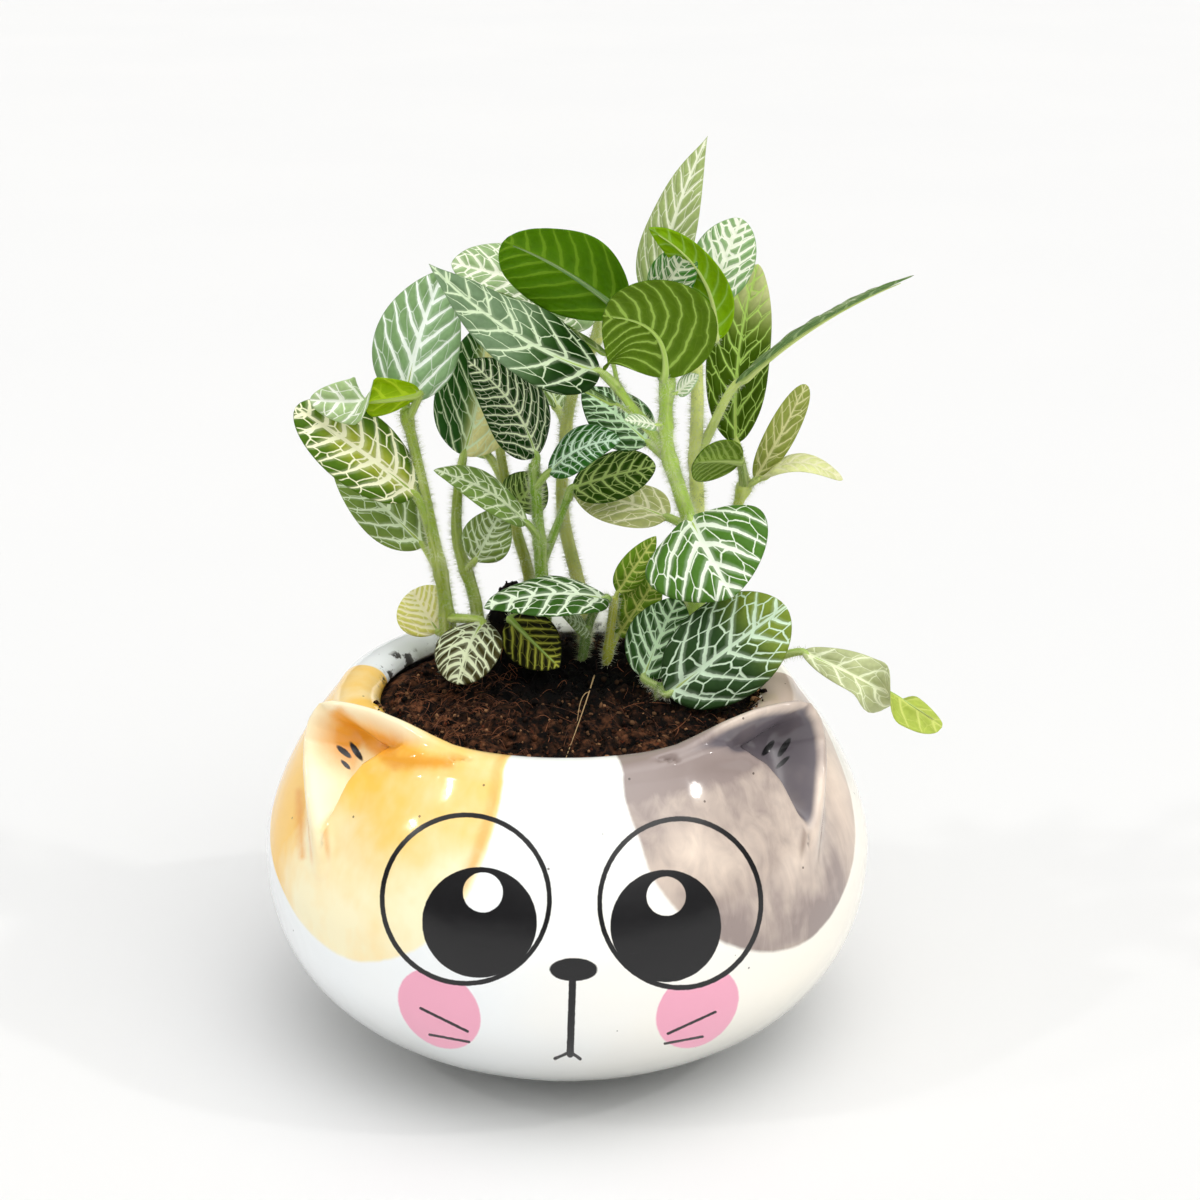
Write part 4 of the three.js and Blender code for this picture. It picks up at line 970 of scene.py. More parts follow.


# The leafy stems. A look holds colours as they look in the photograph, with the light and shade on each leaf
# painted in, how many pairs of side veins and their slope, half widths of side veins and net in millimetres,
# and the net's cell and strength.
USUAL = dict(pairs=7, slope=0.75, side=0.24, net=0.1, cell_mm=2.5, strength=0.9)
LOOKS = {
    "sage": dict(cell=(123, 156, 103), aside=(138, 172, 122), vein=(246, 254, 244), pairs=6, slope=1.25,
        side=0.36, net=0.08, cell_mm=3.1, strength=0.6),
    # Its underside glows bright lime: painted backlight.
    "lime": dict(cell=(162, 188, 130), vein=(248, 252, 238), under=(138, 176, 1), under_vein=(177, 207, 40),
        pairs=5, side=0.34, net=0.14, cell_mm=3.1),
    "gold": dict(cell=(75, 110, 22), middle=(166, 176, 60), vein=(252, 252, 214), slope=0.5, side=0.34,
        net=0.16, cell_mm=3.1, strength=1.0),
    "plain": dict(cell=(114, 140, 63), vein=(222, 238, 202), side=0.22, net=0.09),
    "split": dict(cell=(36, 80, 22), aside=(223, 219, 152), vein=(220, 236, 196), slope=1.5, side=0.2,
        net=0.08, cell_mm=3.1, strength=0.75),
    "fine": dict(cell=(15, 55, 1), vein=(244, 254, 214), pairs=10, slope=0.95, side=0.17, net=0.06,
        cell_mm=1.8, strength=0.7),
    "mint": dict(cell=(41, 98, 27), vein=(222, 250, 224), pairs=8, slope=0.8, side=0.22, net=0.09,
        cell_mm=1.8, strength=0.8),
    # Dark green, darkened further with painted shade for the shadow these rear leaves lie in.
    "moss": dict(cell=(43, 74, 1), vein=(190, 212, 128), side=0.19, net=0.09, cell_mm=2.3),
    "pale": dict(cell=(186, 192, 122), vein=(251, 248, 213), side=0.22, net=0.09),
    "long": dict(cell=(108, 134, 98), base=(19, 52, 4), vein=(210, 228, 190), slope=1.0, side=0.28,
        net=0.12, cell_mm=3.2, strength=1.0),
    "silver": dict(cell=(150, 178, 123), vein=(246, 250, 228), pairs=8, slope=0.9, side=0.32, net=0.14,
        cell_mm=2.8, strength=1.0),
    # Its underside glows lime: painted backlight.
    "lit": dict(cell=(40, 100, 10), vein=(190, 214, 120), under=(82, 130, 2), under_vein=(120, 164, 34),
        slope=0.7, side=0.3, net=0.05, cell_mm=3.1, strength=0.18, rib=(104, 148, 84)),
    # Its underside glows lime: painted backlight.
    "lit_dull": dict(cell=(40, 90, 20), vein=(190, 214, 120), under=(85, 117, 12),
        under_vein=(160, 192, 84), slope=0.6, side=0.15, net=0.05, cell_mm=3.4, strength=0.2),
    "olive": dict(cell=(158, 176, 110), vein=(244, 248, 220), pairs=9, slope=1.7, side=0.26, net=0.09,
        cell_mm=2.9, strength=0.85),
    "bold": dict(cell=(131, 170, 106), vein=(250, 255, 234), slope=0.9, side=0.34, net=0.15, cell_mm=2.6,
        strength=1.0),
    # Dark for the shade on this small leaf: painted shade.
    "night": dict(cell=(61, 132, 32), vein=(250, 255, 226), pairs=8, side=0.25, cell_mm=2.1),
    # Its underside glows lime: painted backlight.
    "band": dict(cell=(40, 100, 20), vein=(200, 220, 150), under=(136, 183, 5), under_vein=(163, 206, 85),
        pairs=8, side=0.2, net=0.06, strength=0.3),
    "pale_tip": dict(cell=(64, 92, 2), tip=(188, 194, 132), vein=(190, 222, 114), pairs=8, slope=1.3,
        side=0.19, cell_mm=2.9),
    "edge": dict(cell=(117, 141, 90), vein=(206, 218, 180), under=(100, 134, 74),
        under_vein=(150, 176, 120)),
    "husk": dict(cell=(143, 155, 71), vein=(222, 222, 160), under=(160, 168, 92),
        under_vein=(214, 214, 150), slope=1.5),
    "shade": dict(cell=(30, 70, 20), vein=(150, 176, 90), under=(84, 114, 14), under_vein=(140, 164, 76),
        rib=(126, 150, 62)),
    "butter": dict(cell=(216, 220, 154), vein=(231, 229, 190)),
    "white_net": dict(cell=(76, 119, 42), vein=(239, 249, 229), pairs=4, slope=0.9, side=0.44, net=0.15,
        cell_mm=4.2, strength=1.0),
    "teal": dict(cell=(46, 73, 37), tip=(120, 140, 50), vein=(212, 236, 206), pairs=5, slope=0.7, side=0.32,
        net=0.18, cell_mm=3.0, strength=1.0),
    # Dark for the shadow it lies in: painted shade.
    "dusk": dict(cell=(40, 76, 26), vein=(206, 236, 196)),
    "young": dict(cell=(104, 142, 30), vein=(214, 224, 124), side=0.2, net=0.08, pairs=6),
    "cream": dict(cell=(52, 90, 28), vein=(229, 242, 217), pairs=6, slope=0.6, side=0.34, net=0.15,
        cell_mm=2.7, strength=1.0),
    # Its underside is nearly black for the shadow it lies in: painted shade.
    "low": dict(cell=(40, 80, 20), vein=(170, 190, 100), under=(23, 23, 2), under_vein=(180, 184, 73),
        side=0.2, net=0.07),
    "grey_green": dict(cell=(118, 148, 70), vein=(232, 244, 206), pairs=6, side=0.28, net=0.14, cell_mm=2.3,
        strength=1.0),
    # Darkened for the shadow it lies in: painted shade.
    "shaded_stony": dict(cell=(54, 50, 16), vein=(208, 217, 181), pairs=6, slope=0.6, side=0.28, net=0.15,
        cell_mm=2.9),
    "yellow": dict(cell=(214, 214, 96), vein=(254, 250, 208), side=0.26, strength=0.6),
    "trail": dict(cell=(185, 193, 142), vein=(242, 248, 212), under=(172, 189, 82),
        under_vein=(204, 214, 115), net=0.09),
}


def leaf(look, start, base, tip, width, face, **more):
    """A petiole from start on the stem to base, and a blade from base to tip, its upper side along face."""
    usual = dict(arch=0.05, bow=0.0, twist=0.0, turn=(0, 1), fold=6.0, curl=-0.35, blunt=0.8, wave=0.35)
    return {**usual, **more, **dict(look=look, start=start, base=base, tip=tip, width=width, face=face)}


def shoot(slot, stem, stems, *leaves):
    """A node's material slot, its stems' colour, their radius and route each, and their leaves."""
    return dict(slot=slot, stem=stem, stems=stems, leaves=leaves)


# Height at which the stems start, inside the soil.
FOOT = 60
SHOOTS = {
    "left_shoot": shoot(
        "leaf_light", (146, 170, 51),
        [(1.7, [(-24, 12, FOOT), (-24, 12, 78), (-24.5, 10, 88), (-26, 6, 100), (-28, 4, 113),
             (-30.5, 2, 127)])],
        leaf("sage", (-30, 2, 125), (-30.5, 3.5, 128), (-23, 11, 152), 16.5, (0.1, -1, 0.2), fold=8,
            bow=-0.04),
        leaf("lime", (-30, 2, 125), (-27.5, 1, 130.5), (-47.5, -6, 131), 9.5, (0.1, 0.95, 0.4), arch=-0.06,
            twist=-150, turn=(0.42, 0.66), blunt=0.6, fold=20),
        leaf("gold", (-25, 8, 95), (-29, 3, 110), (-50.5, -4, 129), 14.5, (0.1, -0.85, 0.5), fold=10,
            arch=0.08, blunt=0.55),
        leaf("plain", (-25, 9, 92), (-28, 8, 98), (-46, 13, 115), 12, (-0.1, -0.9, 0.3), fold=8),
        leaf("shaded_stony", (-24, 11, 82), (-16.5, 4, 83.5), (-21, -8, 75), 13.5, (-0.2, -0.6, 0.75), arch=0.12,
            blunt=0.5),
        leaf("yellow", (-24, 12, 79), (-26, 13.5, 78), (-31.5, 16, 86), 12, (0.1, -0.9, 0.4), blunt=0.5),
    ),
    "left_inner_shoot": shoot(
        "leaf_dark", (153, 175, 69),
        [(1.5, [(-18.5, 17, FOOT), (-18.5, 17, 82), (-22, 17, 96), (-22, 17, 104), (-21, 16, 112)])],
        leaf("split", (-21.2, 16, 110), (-20.5, 16.5, 114), (-16, 22, 140), 17, (0, -1, 0.2), fold=12,
            bow=0.04),
        leaf("plain", (-20.5, 17, 90), (-18.5, 14, 93), (-12.5, 11, 105), 10, (0.1, -0.95, 0.3)),
    ),
    "rear_left_shoot": shoot(
        "leaf_dark", (160, 168, 66),
        [(1.4, [(-8, 28, FOOT), (-8, 28, 84), (-10.5, 26.5, 95), (-12.5, 26, 105), (-14.5, 25, 119),
             (-15.5, 25, 126)])],
        leaf("moss", (-15, 25, 123), (-14.5, 26.5, 127), (-9.5, 31, 141), 12, (0, -1, 0.3)),
        leaf("moss", (-11.5, 26, 99), (-11, 24.5, 101), (-5, 21, 109), 10, (0, -1, 0.2)),
        leaf("plain", (-12.5, 26, 105), (-16, 30, 110), (-26, 36, 124), 14, (0.2, 0.6, 0.7)),
    ),
    "centre_left_shoot": shoot(
        "leaf_dark", (125, 168, 40),
        [(1.7, [(-5, 19, FOOT), (-5, 19, 80), (-5.5, 18, 93), (-6, 16, 103), (-6.5, 13.5, 113)]),
         (1.1, [(-5.3, 18.5, 91), (-2.5, 20, 97.5), (0.5, 20, 105.5)])],
        leaf("fine", (-6.5, 14, 112), (-6, 12.5, 115), (-18.5, 2, 136.5), 14, (0.3, -0.85, 0.45), fold=10,
            bow=0.06),
        leaf("mint", (-6.3, 14.5, 108), (-3.5, 11.5, 112), (10.5, 2, 121), 9.5, (0, -0.75, 0.65), fold=8,
            bow=-0.08),
        leaf("moss", (0, 20, 104), (1, 19.5, 106.5), (17.5, 14, 112.5), 11, (0, -0.75, 0.65), blunt=0.6),
        leaf("grey_green", (-5.5, 17.5, 96), (-8, 13.5, 101), (-25.5, 4, 114.5), 9, (0.1, -0.6, 0.8),
            arch=0.06, bow=0.04),
        leaf("low", (-5, 19, 80), (-11.5, 10, 82), (-1.5, 0, 75.5), 11, (0, 0.85, -0.5)),
    ),
    "rear_centre_shoot": shoot(
        "leaf_light", (208, 212, 122),
        [(1.6, [(3, 28, FOOT), (3, 28, 78), (-1, 27.5, 98), (-1, 26.5, 110), (1, 25, 124), (6, 21, 137)])],
        leaf("silver", (5.5, 21.5, 136), (6, 18, 142), (-21.5, 7, 154), 17, (0, -0.75, 0.65), fold=8,
            arch=0.08, blunt=0.65),
        leaf("silver", (5.5, 21.5, 136), (9, 24, 138), (22, 35, 146), 14, (0, 0.4, 0.9)),
        leaf("plain", (0, 26, 117), (-2, 30, 120), (-8, 42, 130), 13, (0, 0.5, 0.85)),
    ),
    "main_shoot": shoot(
        "leaf_light", (176, 210, 86),
        [(2.0, [(25, 9.5, FOOT), (25, 9.5, 77), (26, 11, 91.5), (24.5, 9.5, 101), (22, 7, 109.5),
             (19.5, 4, 118.5), (19, 2, 127), (19.3, 0, 134)]),
         (1.2, [(19.7, 4.5, 118), (14, 3, 125.5), (9.5, 2.5, 131.5)])],
        leaf("lit_dull", (19.3, 0, 133), (18.5, -1.5, 134), (7, -9, 147.5), 24, (0, 0.95, 0.3), bow=-0.24,
            fold=4, blunt=0.45),
        leaf("long", (10, 2.5, 131), (6.5, 1.5, 134.5), (-24.5, -9, 157), 15, (0.2, -0.75, 0.6), fold=10,
            blunt=1, bow=-0.1),
        leaf("gold", (10, 3, 131), (8.3, 4.6, 137), (-12.5, 1.5, 149.8), 5, (0, 0.3, 0.95), arch=0.02),
        leaf("dusk", (15, 3.5, 124), (9.5, 2.8, 128), (-6.5, -1, 136), 4.5, (0, 0.4, 0.9), arch=0.02),
        leaf("lit", (19.3, 0.5, 132), (11, 3, 145.5), (-11, -5, 160.5), 19, (-0.2, 0.8, 0.6), blunt=0.55,
            arch=0.08),
        leaf("pale", (24.5, 9.5, 101), (20, 14, 102), (1, 26, 104), 13, (0, -0.5, 0.85)),
        leaf("dusk", (20, 5, 116), (16, 11, 118), (3, 16, 127.5), 13, (0, -0.6, 0.8)),
        leaf("bold", (19, 2.5, 124), (17, 0, 124.5), (11, -6, 127), 4.5, (0, -0.6, 0.8)),
        leaf("bold", (19, 1, 130), (21, -1, 131), (25, -3, 135), 4.5, (0, -0.6, 0.8)),
        leaf("white_net", (25, 10, 99), (24, 3.5, 105), (31.5, -13, 94.5), 25.5, (-0.4, -0.5, 0.8),
            arch=0.14, blunt=0.65),
    ),
    "upper_right_shoot": shoot(
        # Painted light: this stem is coloured paler where the leaves shade it.
        "leaf_light", (234, 242, 150),
        [(1.8, [(24.5, 20, FOOT), (24.5, 20, 78), (26, 20, 100), (25.5, 18, 112.5), (25.5, 15, 125.5),
             (25, 12, 138.5), (25.5, 10, 146)])],
        leaf("olive", (25, 11.5, 140), (16.5, 14, 145), (27, 20, 176), 10.5, (-0.3, -0.9, 0.2), blunt=1.1,
            bow=-0.02),
        leaf("band", (25, 12, 139), (28.5, 5, 140), (15.5, 0, 162), 9, (0.2, 0.7, 0.5), bow=-0.15,
            blunt=0.7),
        leaf("night", (25.5, 10.5, 144), (17, 5, 147), (24, 1, 159), 9, (0, -0.9, 0.4)),
        leaf("bold", (25.5, 10.5, 144), (27, 13, 145.5), (33.5, 16, 161), 12, (-0.1, -1, 0.2), blunt=0.6),
        leaf("edge", (25.7, 17.5, 113), (33, 14.5, 129), (65.5, 6, 152), 11, (-0.5, 0.25, 0.95), fold=14,
            blunt=1),
    ),
    "right_shoot": shoot(
        "leaf_dark", (200, 214, 104),
        [(1.5, [(30.5, 13.5, FOOT), (30.5, 13.5, 77), (33, 15, 92), (33.5, 14.5, 103), (35.5, 14, 110)])],
        leaf("pale_tip", (35.3, 14, 109), (33.5, 18.5, 116), (37.5, 25, 150.5), 12.5, (0, -1, 0.2),
            blunt=0.65, fold=10, bow=-0.05),
        leaf("husk", (34.5, 14.5, 107), (37, 12.5, 110.5), (46, 8, 130.5), 6.2, (0.3, -0.6, 0.5),
            blunt=0.5),
        leaf("shade", (35, 14, 108), (34, 10.5, 114.5), (24.5, 3, 116.5), 11, (0, 0.95, 0.3), blunt=0.5),
        leaf("butter", (35, 14, 108), (38, 12, 110.5), (53.5, 6, 112), 7, (0, -0.3, 1), arch=0.24,
            blunt=0.6),
    ),
    "front_right_sprig": shoot(
        "leaf_dark", (120, 150, 70),
        [(1.3, [(18, -5, FOOT), (18, -5, 71), (18.5, -5.5, 74)])],
        leaf("teal", (18.4, -5.4, 73), (19.5, -9.5, 73.5), (42, -8, 91), 19.5, (-0.2, -0.9, 0.35), fold=8,
            blunt=0.55),
        leaf("dusk", (18.4, -5.4, 73), (15, -3, 74.5), (22, 4, 89), 14, (-0.4, -0.8, 0.3)),
    ),
    "young_sprig": shoot(
        "leaf_light", (196, 200, 70),
        [(1.2, [(8, 13, FOOT), (8, 13, 72), (9, 12.5, 82), (9.5, 12, 86)])],
        leaf("young", (9.3, 12.2, 84), (10, 12, 87), (17.5, 8, 100), 6, (0, -0.9, 0.4)),
        leaf("young", (8.2, 13, 74), (10, 14, 77), (18.5, 12, 91), 9, (0, -0.95, 0.3)),
    ),
    "centre_sprig": shoot(
        "leaf_dark", (120, 160, 76),
        [(1.2, [(3, 15, FOOT), (3, 15, 72), (5, 12.5, 82), (8, 9.5, 87)])],
        leaf("cream", (7, 10.5, 85.5), (8, 8, 87), (-16, -2, 88.5), 15, (0, -0.25, 1), arch=0.08),
        leaf("plain", (3.3, 14.7, 76), (4, 12, 79.5), (-1, 6.5, 84), 8, (0, -0.6, 0.8)),
    ),
    "trailing_sprig": shoot(
        "leaf_light", (168, 196, 96),
        [(1.2, [(32.5, 2, FOOT), (32.5, 2, 71), (36, 1.5, 75.5), (41, 0, 77.5)])],
        leaf("trail", (40, 0.4, 77.2), (46, -2, 79.5), (72, -14, 68.5), 10, (0, -0.6, 0.8), twist=165,
            turn=(0.42, 0.78), blunt=0.4, fold=26),
    ),
}
BLADE_COLUMNS = 33
BLADE_STEP = 0.6
BLADE_LEAST_ROWS = 14
BLADE_HALF_THICKNESS = 0.18
BLADE_RISE = 0.55
LEAST_HALF_WIDTH = 0.04
WAVE_LENGTH = 2.9
# The underside and the petiole take part of their colour from these.
UNDER_CELL = (150, 176, 104)
UNDER_VEIN = (170, 196, 120)
PETIOLE_TINT = (176, 204, 110)
# The underside's side veins, net and net strength, as shares of the upper side's.
UNDER_VEINS = (1.1, 0.9, 0.6)
# Each blade's net starts at a place of its own.
NET_STEP, NET_SPAN = 7.31, 53


def leaf_frame(it, s):
    """Place, tangent, side and normal along the midrib."""
    s = np.atleast_1d(s)[:, None]
    base, tip, face = (np.array(it[k], float) for k in ("base", "tip", "face"))
    chord = tip - base
    length = np.linalg.norm(chord)
    along = chord / length
    up = unit(face - np.dot(face, along) * along)
    across = np.cross(along, up)
    bulge, slope = 4 * s * (1 - s), 4 * (1 - 2 * s)
    place = base + chord * s + up * it["arch"] * length * bulge + across * it["bow"] * length * bulge
    tangent = unit(along + up * it["arch"] * slope + across * it["bow"] * slope)
    normal = unit(up - (tangent @ up)[:, None] * tangent)
    turn = np.radians(it["twist"]) * smoothstep(*it["turn"], s)
    normal = normal * np.cos(turn) + np.cross(tangent, normal) * np.sin(turn)
    return place, tangent, np.cross(tangent, normal), normal, length


def half_width(it, s):
    widest = BLADE_RISE / (BLADE_RISE + it["blunt"])
    peak = widest**BLADE_RISE * (1 - widest) ** it["blunt"]
    return np.maximum(LEAST_HALF_WIDTH, it["width"] / 2 * s**BLADE_RISE * (1 - s) ** it["blunt"] / peak)


def cell_colours(look, s, t):
    """The cell colour of the upper side at each point of the grid."""
    out = np.broadcast_to(np.array(look["cell"], float), (*s.shape, 3)).copy()
    shares = {
        "tip": smoothstep(0.5, 0.85, s),
        "base": smoothstep(0.55, 0.2, s),
        "aside": smoothstep(-0.4, 0.1, t),
        "middle": smoothstep(0.75, 0.15, np.abs(t)) * smoothstep(0.95, 0.6, s),
    }
    for key, share in shares.items():
        if key in look:
            out += (np.array(look[key]) - out) * share[..., None]
    return to_linear(out)


def blade_grid(length):
    """The grid of a blade: s from its base to its tip, t from edge to edge."""
    rows = int(max(BLADE_LEAST_ROWS, round(length / BLADE_STEP)))
    s1 = (1 - np.cos(np.linspace(0, math.pi, rows))) / 2
    s1 = 0.7 * s1 + 0.3 * np.linspace(0, 1, rows)
    t1 = np.linspace(-1, 1, BLADE_COLUMNS)
    return s1, np.sign(t1) * np.abs(t1) ** 0.9


def smooth_blade(it, s1, t):
    """The blade's middle surface before it is quilted, which way is up there, and its half width."""
    place, _, side, normal, _ = leaf_frame(it, s1)
    h = half_width(it, s1)[:, None]
    sign, reach = np.sign(t), np.abs(t)
    fold = math.radians(it["fold"])
    middle, edge = fold + it["curl"] * reach / 2, fold + it["curl"] * reach
    aside = side[:, None] * (sign * h * reach * np.cos(middle))[..., None]
    surface = place[:, None] + aside + normal[:, None] * (h * reach * np.sin(middle))[..., None]
    up = unit(normal[:, None] * np.cos(edge)[..., None] - side[:, None] * (sign * np.sin(edge))[..., None])
    return surface, up, h


def blade_relief(it, s, t, phase, spacing, away, margin, length, turn):
    """The blade is quilted between its side veins, grooved along the midrib, and wavy at the edge."""
    between = np.sin(np.pi * (phase % 1.0)) ** 2
    inward = smoothstep(0, 1.6, margin)
    quilt = 0.09 * min(spacing, 4.0) * between * inward * (1 - np.exp(-((away / 1.1) ** 2)))
    groove = -0.35 * np.exp(-((away / 0.75) ** 2)) * smoothstep(0, 0.1, s) * smoothstep(1, 0.8, s)
    tall = it["wave"] * min(1.0, it["width"] / 13) * np.abs(t) ** 2.5
    wave = tall * np.sin(s * length / WAVE_LENGTH + np.where(t > 0, turn[0], turn[1]))
    return quilt + groove + wave * smoothstep(0, 0.15, s) * smoothstep(1, 0.9, s)


def close_rim(shape, rows, columns):
    """The narrow faces between the two layers that were added last."""
    count = rows * columns
    first = shape.count - 2 * count
    near = first + np.arange(columns)
    left = first + np.arange(rows) * columns
    rim = []
    edges = ((near, False), (near + count - columns, True), (left, True), (left + columns - 1, False))
    for line, back in edges:
        a, b = line[:-1], line[1:]
        quad = np.stack([b, a, a + count, b + count], axis=-1)
        rim.append(quad[:, ::-1] if back else quad)
    shape.add_faces(np.vstack(rim), 1)


def add_blade(shape, it, number, rng):
    look = {**USUAL, **LOOKS[it["look"]]}
    length = leaf_frame(it, 0.0)[4]
    s1, t1 = blade_grid(length)
    s, t = np.meshgrid(s1, t1, indexing="ij")
    surface, up, h = smooth_blade(it, s1, t)
    # Side veins: which of them each point lies between, and how far out along them.
    away = h * np.abs(t)
    start = (s * length - look["slope"] * away - 0.35 * away**2 / (it["width"] / 2)) / length
    phase = look["pairs"] * (start + 0.2 * start * np.abs(start)) / 1.2
    phase = phase + np.where(t > 0, rng.uniform(0.15, 0.4), 0.0) + 0.5
    margin, spacing, turn = h - away, length / look["pairs"], rng.uniform(0, TURN, 2)
    surface = surface + up * blade_relief(it, s, t, phase, spacing, away, margin, length, turn)[..., None]
    cell = cell_colours(look, s, t)
    under = look.get("under", 0.45 * np.array(look["cell"]) + 0.55 * np.array(UNDER_CELL))
    under_vein = look.get("under_vein", 0.5 * np.array(look["vein"]) + 0.5 * np.array(UNDER_VEIN))
    finer = min(1.0, 0.3 + it["width"] / 17)
    widths = np.array([look["side"] * finer, look["net"] * finer, look["strength"]])
    thick = BLADE_HALF_THICKNESS * smoothstep(0, 0.5, margin + 0.12)[..., None]
    upper_side = (1, cell, look["vein"], widths)
    under_side = (-1, np.broadcast_to(to_linear(under), cell.shape), under_vein, widths * UNDER_VEINS)
    for face, cells, vein, vein_widths in (upper_side, under_side):
        out = (away * 1.15 + 0.2 * s * length).ravel()
        shape.add(
            (surface + up * face * thick).reshape(-1, 3),
            [grid_faces(*s.shape, flip=face < 0)],
            1,
            blade=np.column_stack([s.ravel(), np.abs(t).ravel(), np.full(s.size, face)]),
            veins=np.column_stack([phase.ravel(), out, (np.sign(t) * away).ravel()]),
            widths=vein_widths,
            sizes=np.array([spacing, look["cell_mm"], number * NET_STEP % NET_SPAN]),
            margin=margin.ravel(),
            cell_colour=cells.reshape(-1, 3),
            vein_colour=to_linear(vein),
        )
    close_rim(shape, *s.shape)


def add_tube(shape, path, radii, tint, sides, ridges=0.0):
    points, faces, along, turn, frames = sweep(path, radii, sides, ridges)
    stem_map = np.column_stack([along, turn, np.zeros(len(along))])
    shape.add(points, faces, 0, stem_map=stem_map, stem_colour=to_linear(tint))
    return frames


# A petiole runs on under the blade as its midrib: places along the blade, and its radius at each.
RIB_AT = np.array([0.05, 0.12, 0.24, 0.4, 0.6, 0.8, 0.93])
RIB_RADIUS = np.array([0.72, 0.62, 0.5, 0.4, 0.28, 0.17, 0.08])
PETIOLE_SIDES = 9
# A blade this wide or wider has a full-sized petiole.
FULL_WIDTH = 11


def add_petiole(shape, it, tint):
    place, _, _, normal, _ = leaf_frame(it, RIB_AT)
    small = min(1.0, it["width"] / FULL_WIDTH)
    radius = RIB_RADIUS * small
    under = place - normal * (BLADE_HALF_THICKNESS + 0.32 + radius * 0.25)[:, None]
    stops = np.vstack([[it["start"]], [it["base"]], under])
    sizes = np.concatenate([[0.95 * small + 0.05, 0.82 * small], radius])
    path = catmull(stops, 5)
    radii = np.interp(np.linspace(0, len(stops) - 1, len(path)), np.arange(len(stops)), sizes)
    return add_tube(shape, path, radii, tint, PETIOLE_SIDES)


HAIR_THICKNESS = 0.034
HAIR_CORNERS = (0, 2.094, 4.189)
HAIR_FACES = ([0, 1, 3], [1, 2, 3], [2, 0, 3], [0, 2, 1])


def add_hairs(shape, frames, rng, per_mm, longest, upto=None):
    """Fine straight hairs that stand out from a tube, or from its first rings."""
    path, outward, radii, tangent, length = (part[:upto] for part in frames)
    count = int(length[-1] * per_mm)
    if count < 1:
        return
    at = rng.uniform(0, length[-1], count)
    ring = np.clip(np.searchsorted(length, at) - 1, 0, len(path) - 2)
    share = ((at - length[ring]) / np.maximum(length[ring + 1] - length[ring], 1e-6))[:, None]
    sides = outward.shape[1]
    turn = rng.integers(0, sides, count)
    mix = rng.uniform(0, 1, (count, 1))
    out = unit(outward[ring, turn] * mix + outward[ring, (turn + 1) % sides] * (1 - mix))
    centre = path[ring] * (1 - share) + path[ring + 1] * share
    radius = (radii[ring] * (1 - share[:, 0]) + radii[ring + 1] * share[:, 0])[:, None]
    root = centre + out * radius * 0.93
    lean = rng.normal(0, 0.28, (count, 3))
    heading = unit(out + lean + tangent[ring] * 0.15)
    tall = longest * rng.uniform(0.35, 1.0, (count, 1)) ** 1.3
    tip = root + heading * tall + [0, 0, -0.05] * tall
    a = unit(np.cross(heading, tangent[ring] + 0.01))
    b = np.cross(heading, a)
    corners = [root + (a * math.cos(k) + b * math.sin(k)) * HAIR_THICKNESS for k in HAIR_CORNERS]
    first = np.arange(count)[:, None] * 4
    shape.add(np.stack([*corners, tip], axis=1).reshape(-1, 3), [np.vstack([first + f for f in HAIR_FACES])])


NET_RANDOM = 0.85
VEIN_SOFT = 0.09


def edge_of(distance, width):
    """1 within a vein's half width, with a soft edge."""
    return distance.ramp(width + VEIN_SOFT, width - VEIN_SOFT)


def leaf_look(name):
    """A midrib, side veins that curve forwards, and a net of small cells between them."""
    look = Look(name, specular=0.09)
    s, reach, face = look.vector("blade")
    phase, out, aside = look.vector("veins")
    side_width, net_width, strength = look.vector("widths")
    spacing, cell, seed = look.vector("sizes")
    margin = look.number("margin")
    where = look.place()
    wobble = look.noise(where, 0.42, 2.0) - 0.5
    sway = look.noise(where, 0.17, 1.0) - 0.5
    fine = look.noise(where, 1.3, 2.0) - 0.5
    away = aside.abs() + wobble * 0.12
    ahead = phase + (wobble * 0.9 + sway * 1.7) / spacing + fine * 0.05
    f = ahead.fract()
    mid_width = side_width * (1.7 - s * 1.15)
    thin = side_width * (1.35 - reach * 0.95)
    to_side = f.lower(1 - f) * spacing * 0.8
    # Between two side veins the cells lie two deep, met by a crooked vein down their middle.
    key = ahead.floor() * 7.0 + aside.ramp(-0.001, 0.001) * 301.0 + seed * 11.0
    lies = look.join(f + NET_RANDOM / 2 + key, out / cell + wobble * 0.25)
    to_net = look.cells(lies, 1.0, NET_RANDOM, feature="DISTANCE_TO_EDGE", voronoi_dimensions="2D")
    to_net = to_net * (cell + spacing * 0.8) * 0.5
    net = edge_of(to_net, net_width * (0.95 - reach * 0.25 + wobble * 1.4)) * strength
    veins = edge_of(away, mid_width).upper(edge_of(to_side, thin)).upper(net) * margin.ramp(0.05, 0.4)
    halo = to_side.ramp(thin * 2.5 + 0.3, thin) * 0.22
    halo = halo.upper(away.ramp(mid_width * 2.5 + 0.2, mid_width) * 0.25)
    blotch = look.noise(where, 0.28, 3.0)
    cell_tone = look.scaled(look.attribute("cell_colour"), 0.78 + blotch * 0.44 + fine * 0.3)
    colour = look.mix((halo + veins).clamp(), cell_tone, look.attribute("vein_colour"))
    bulge = to_side.lower(to_net).ramp(0.0, 0.9)
    height = (bulge * 0.75 - veins * 0.35) * face + fine * 0.25
    return look.finish(colour, 0.5 - bulge * 0.12 + fine * 0.2, height, depth_mm=0.16, strength=0.8)


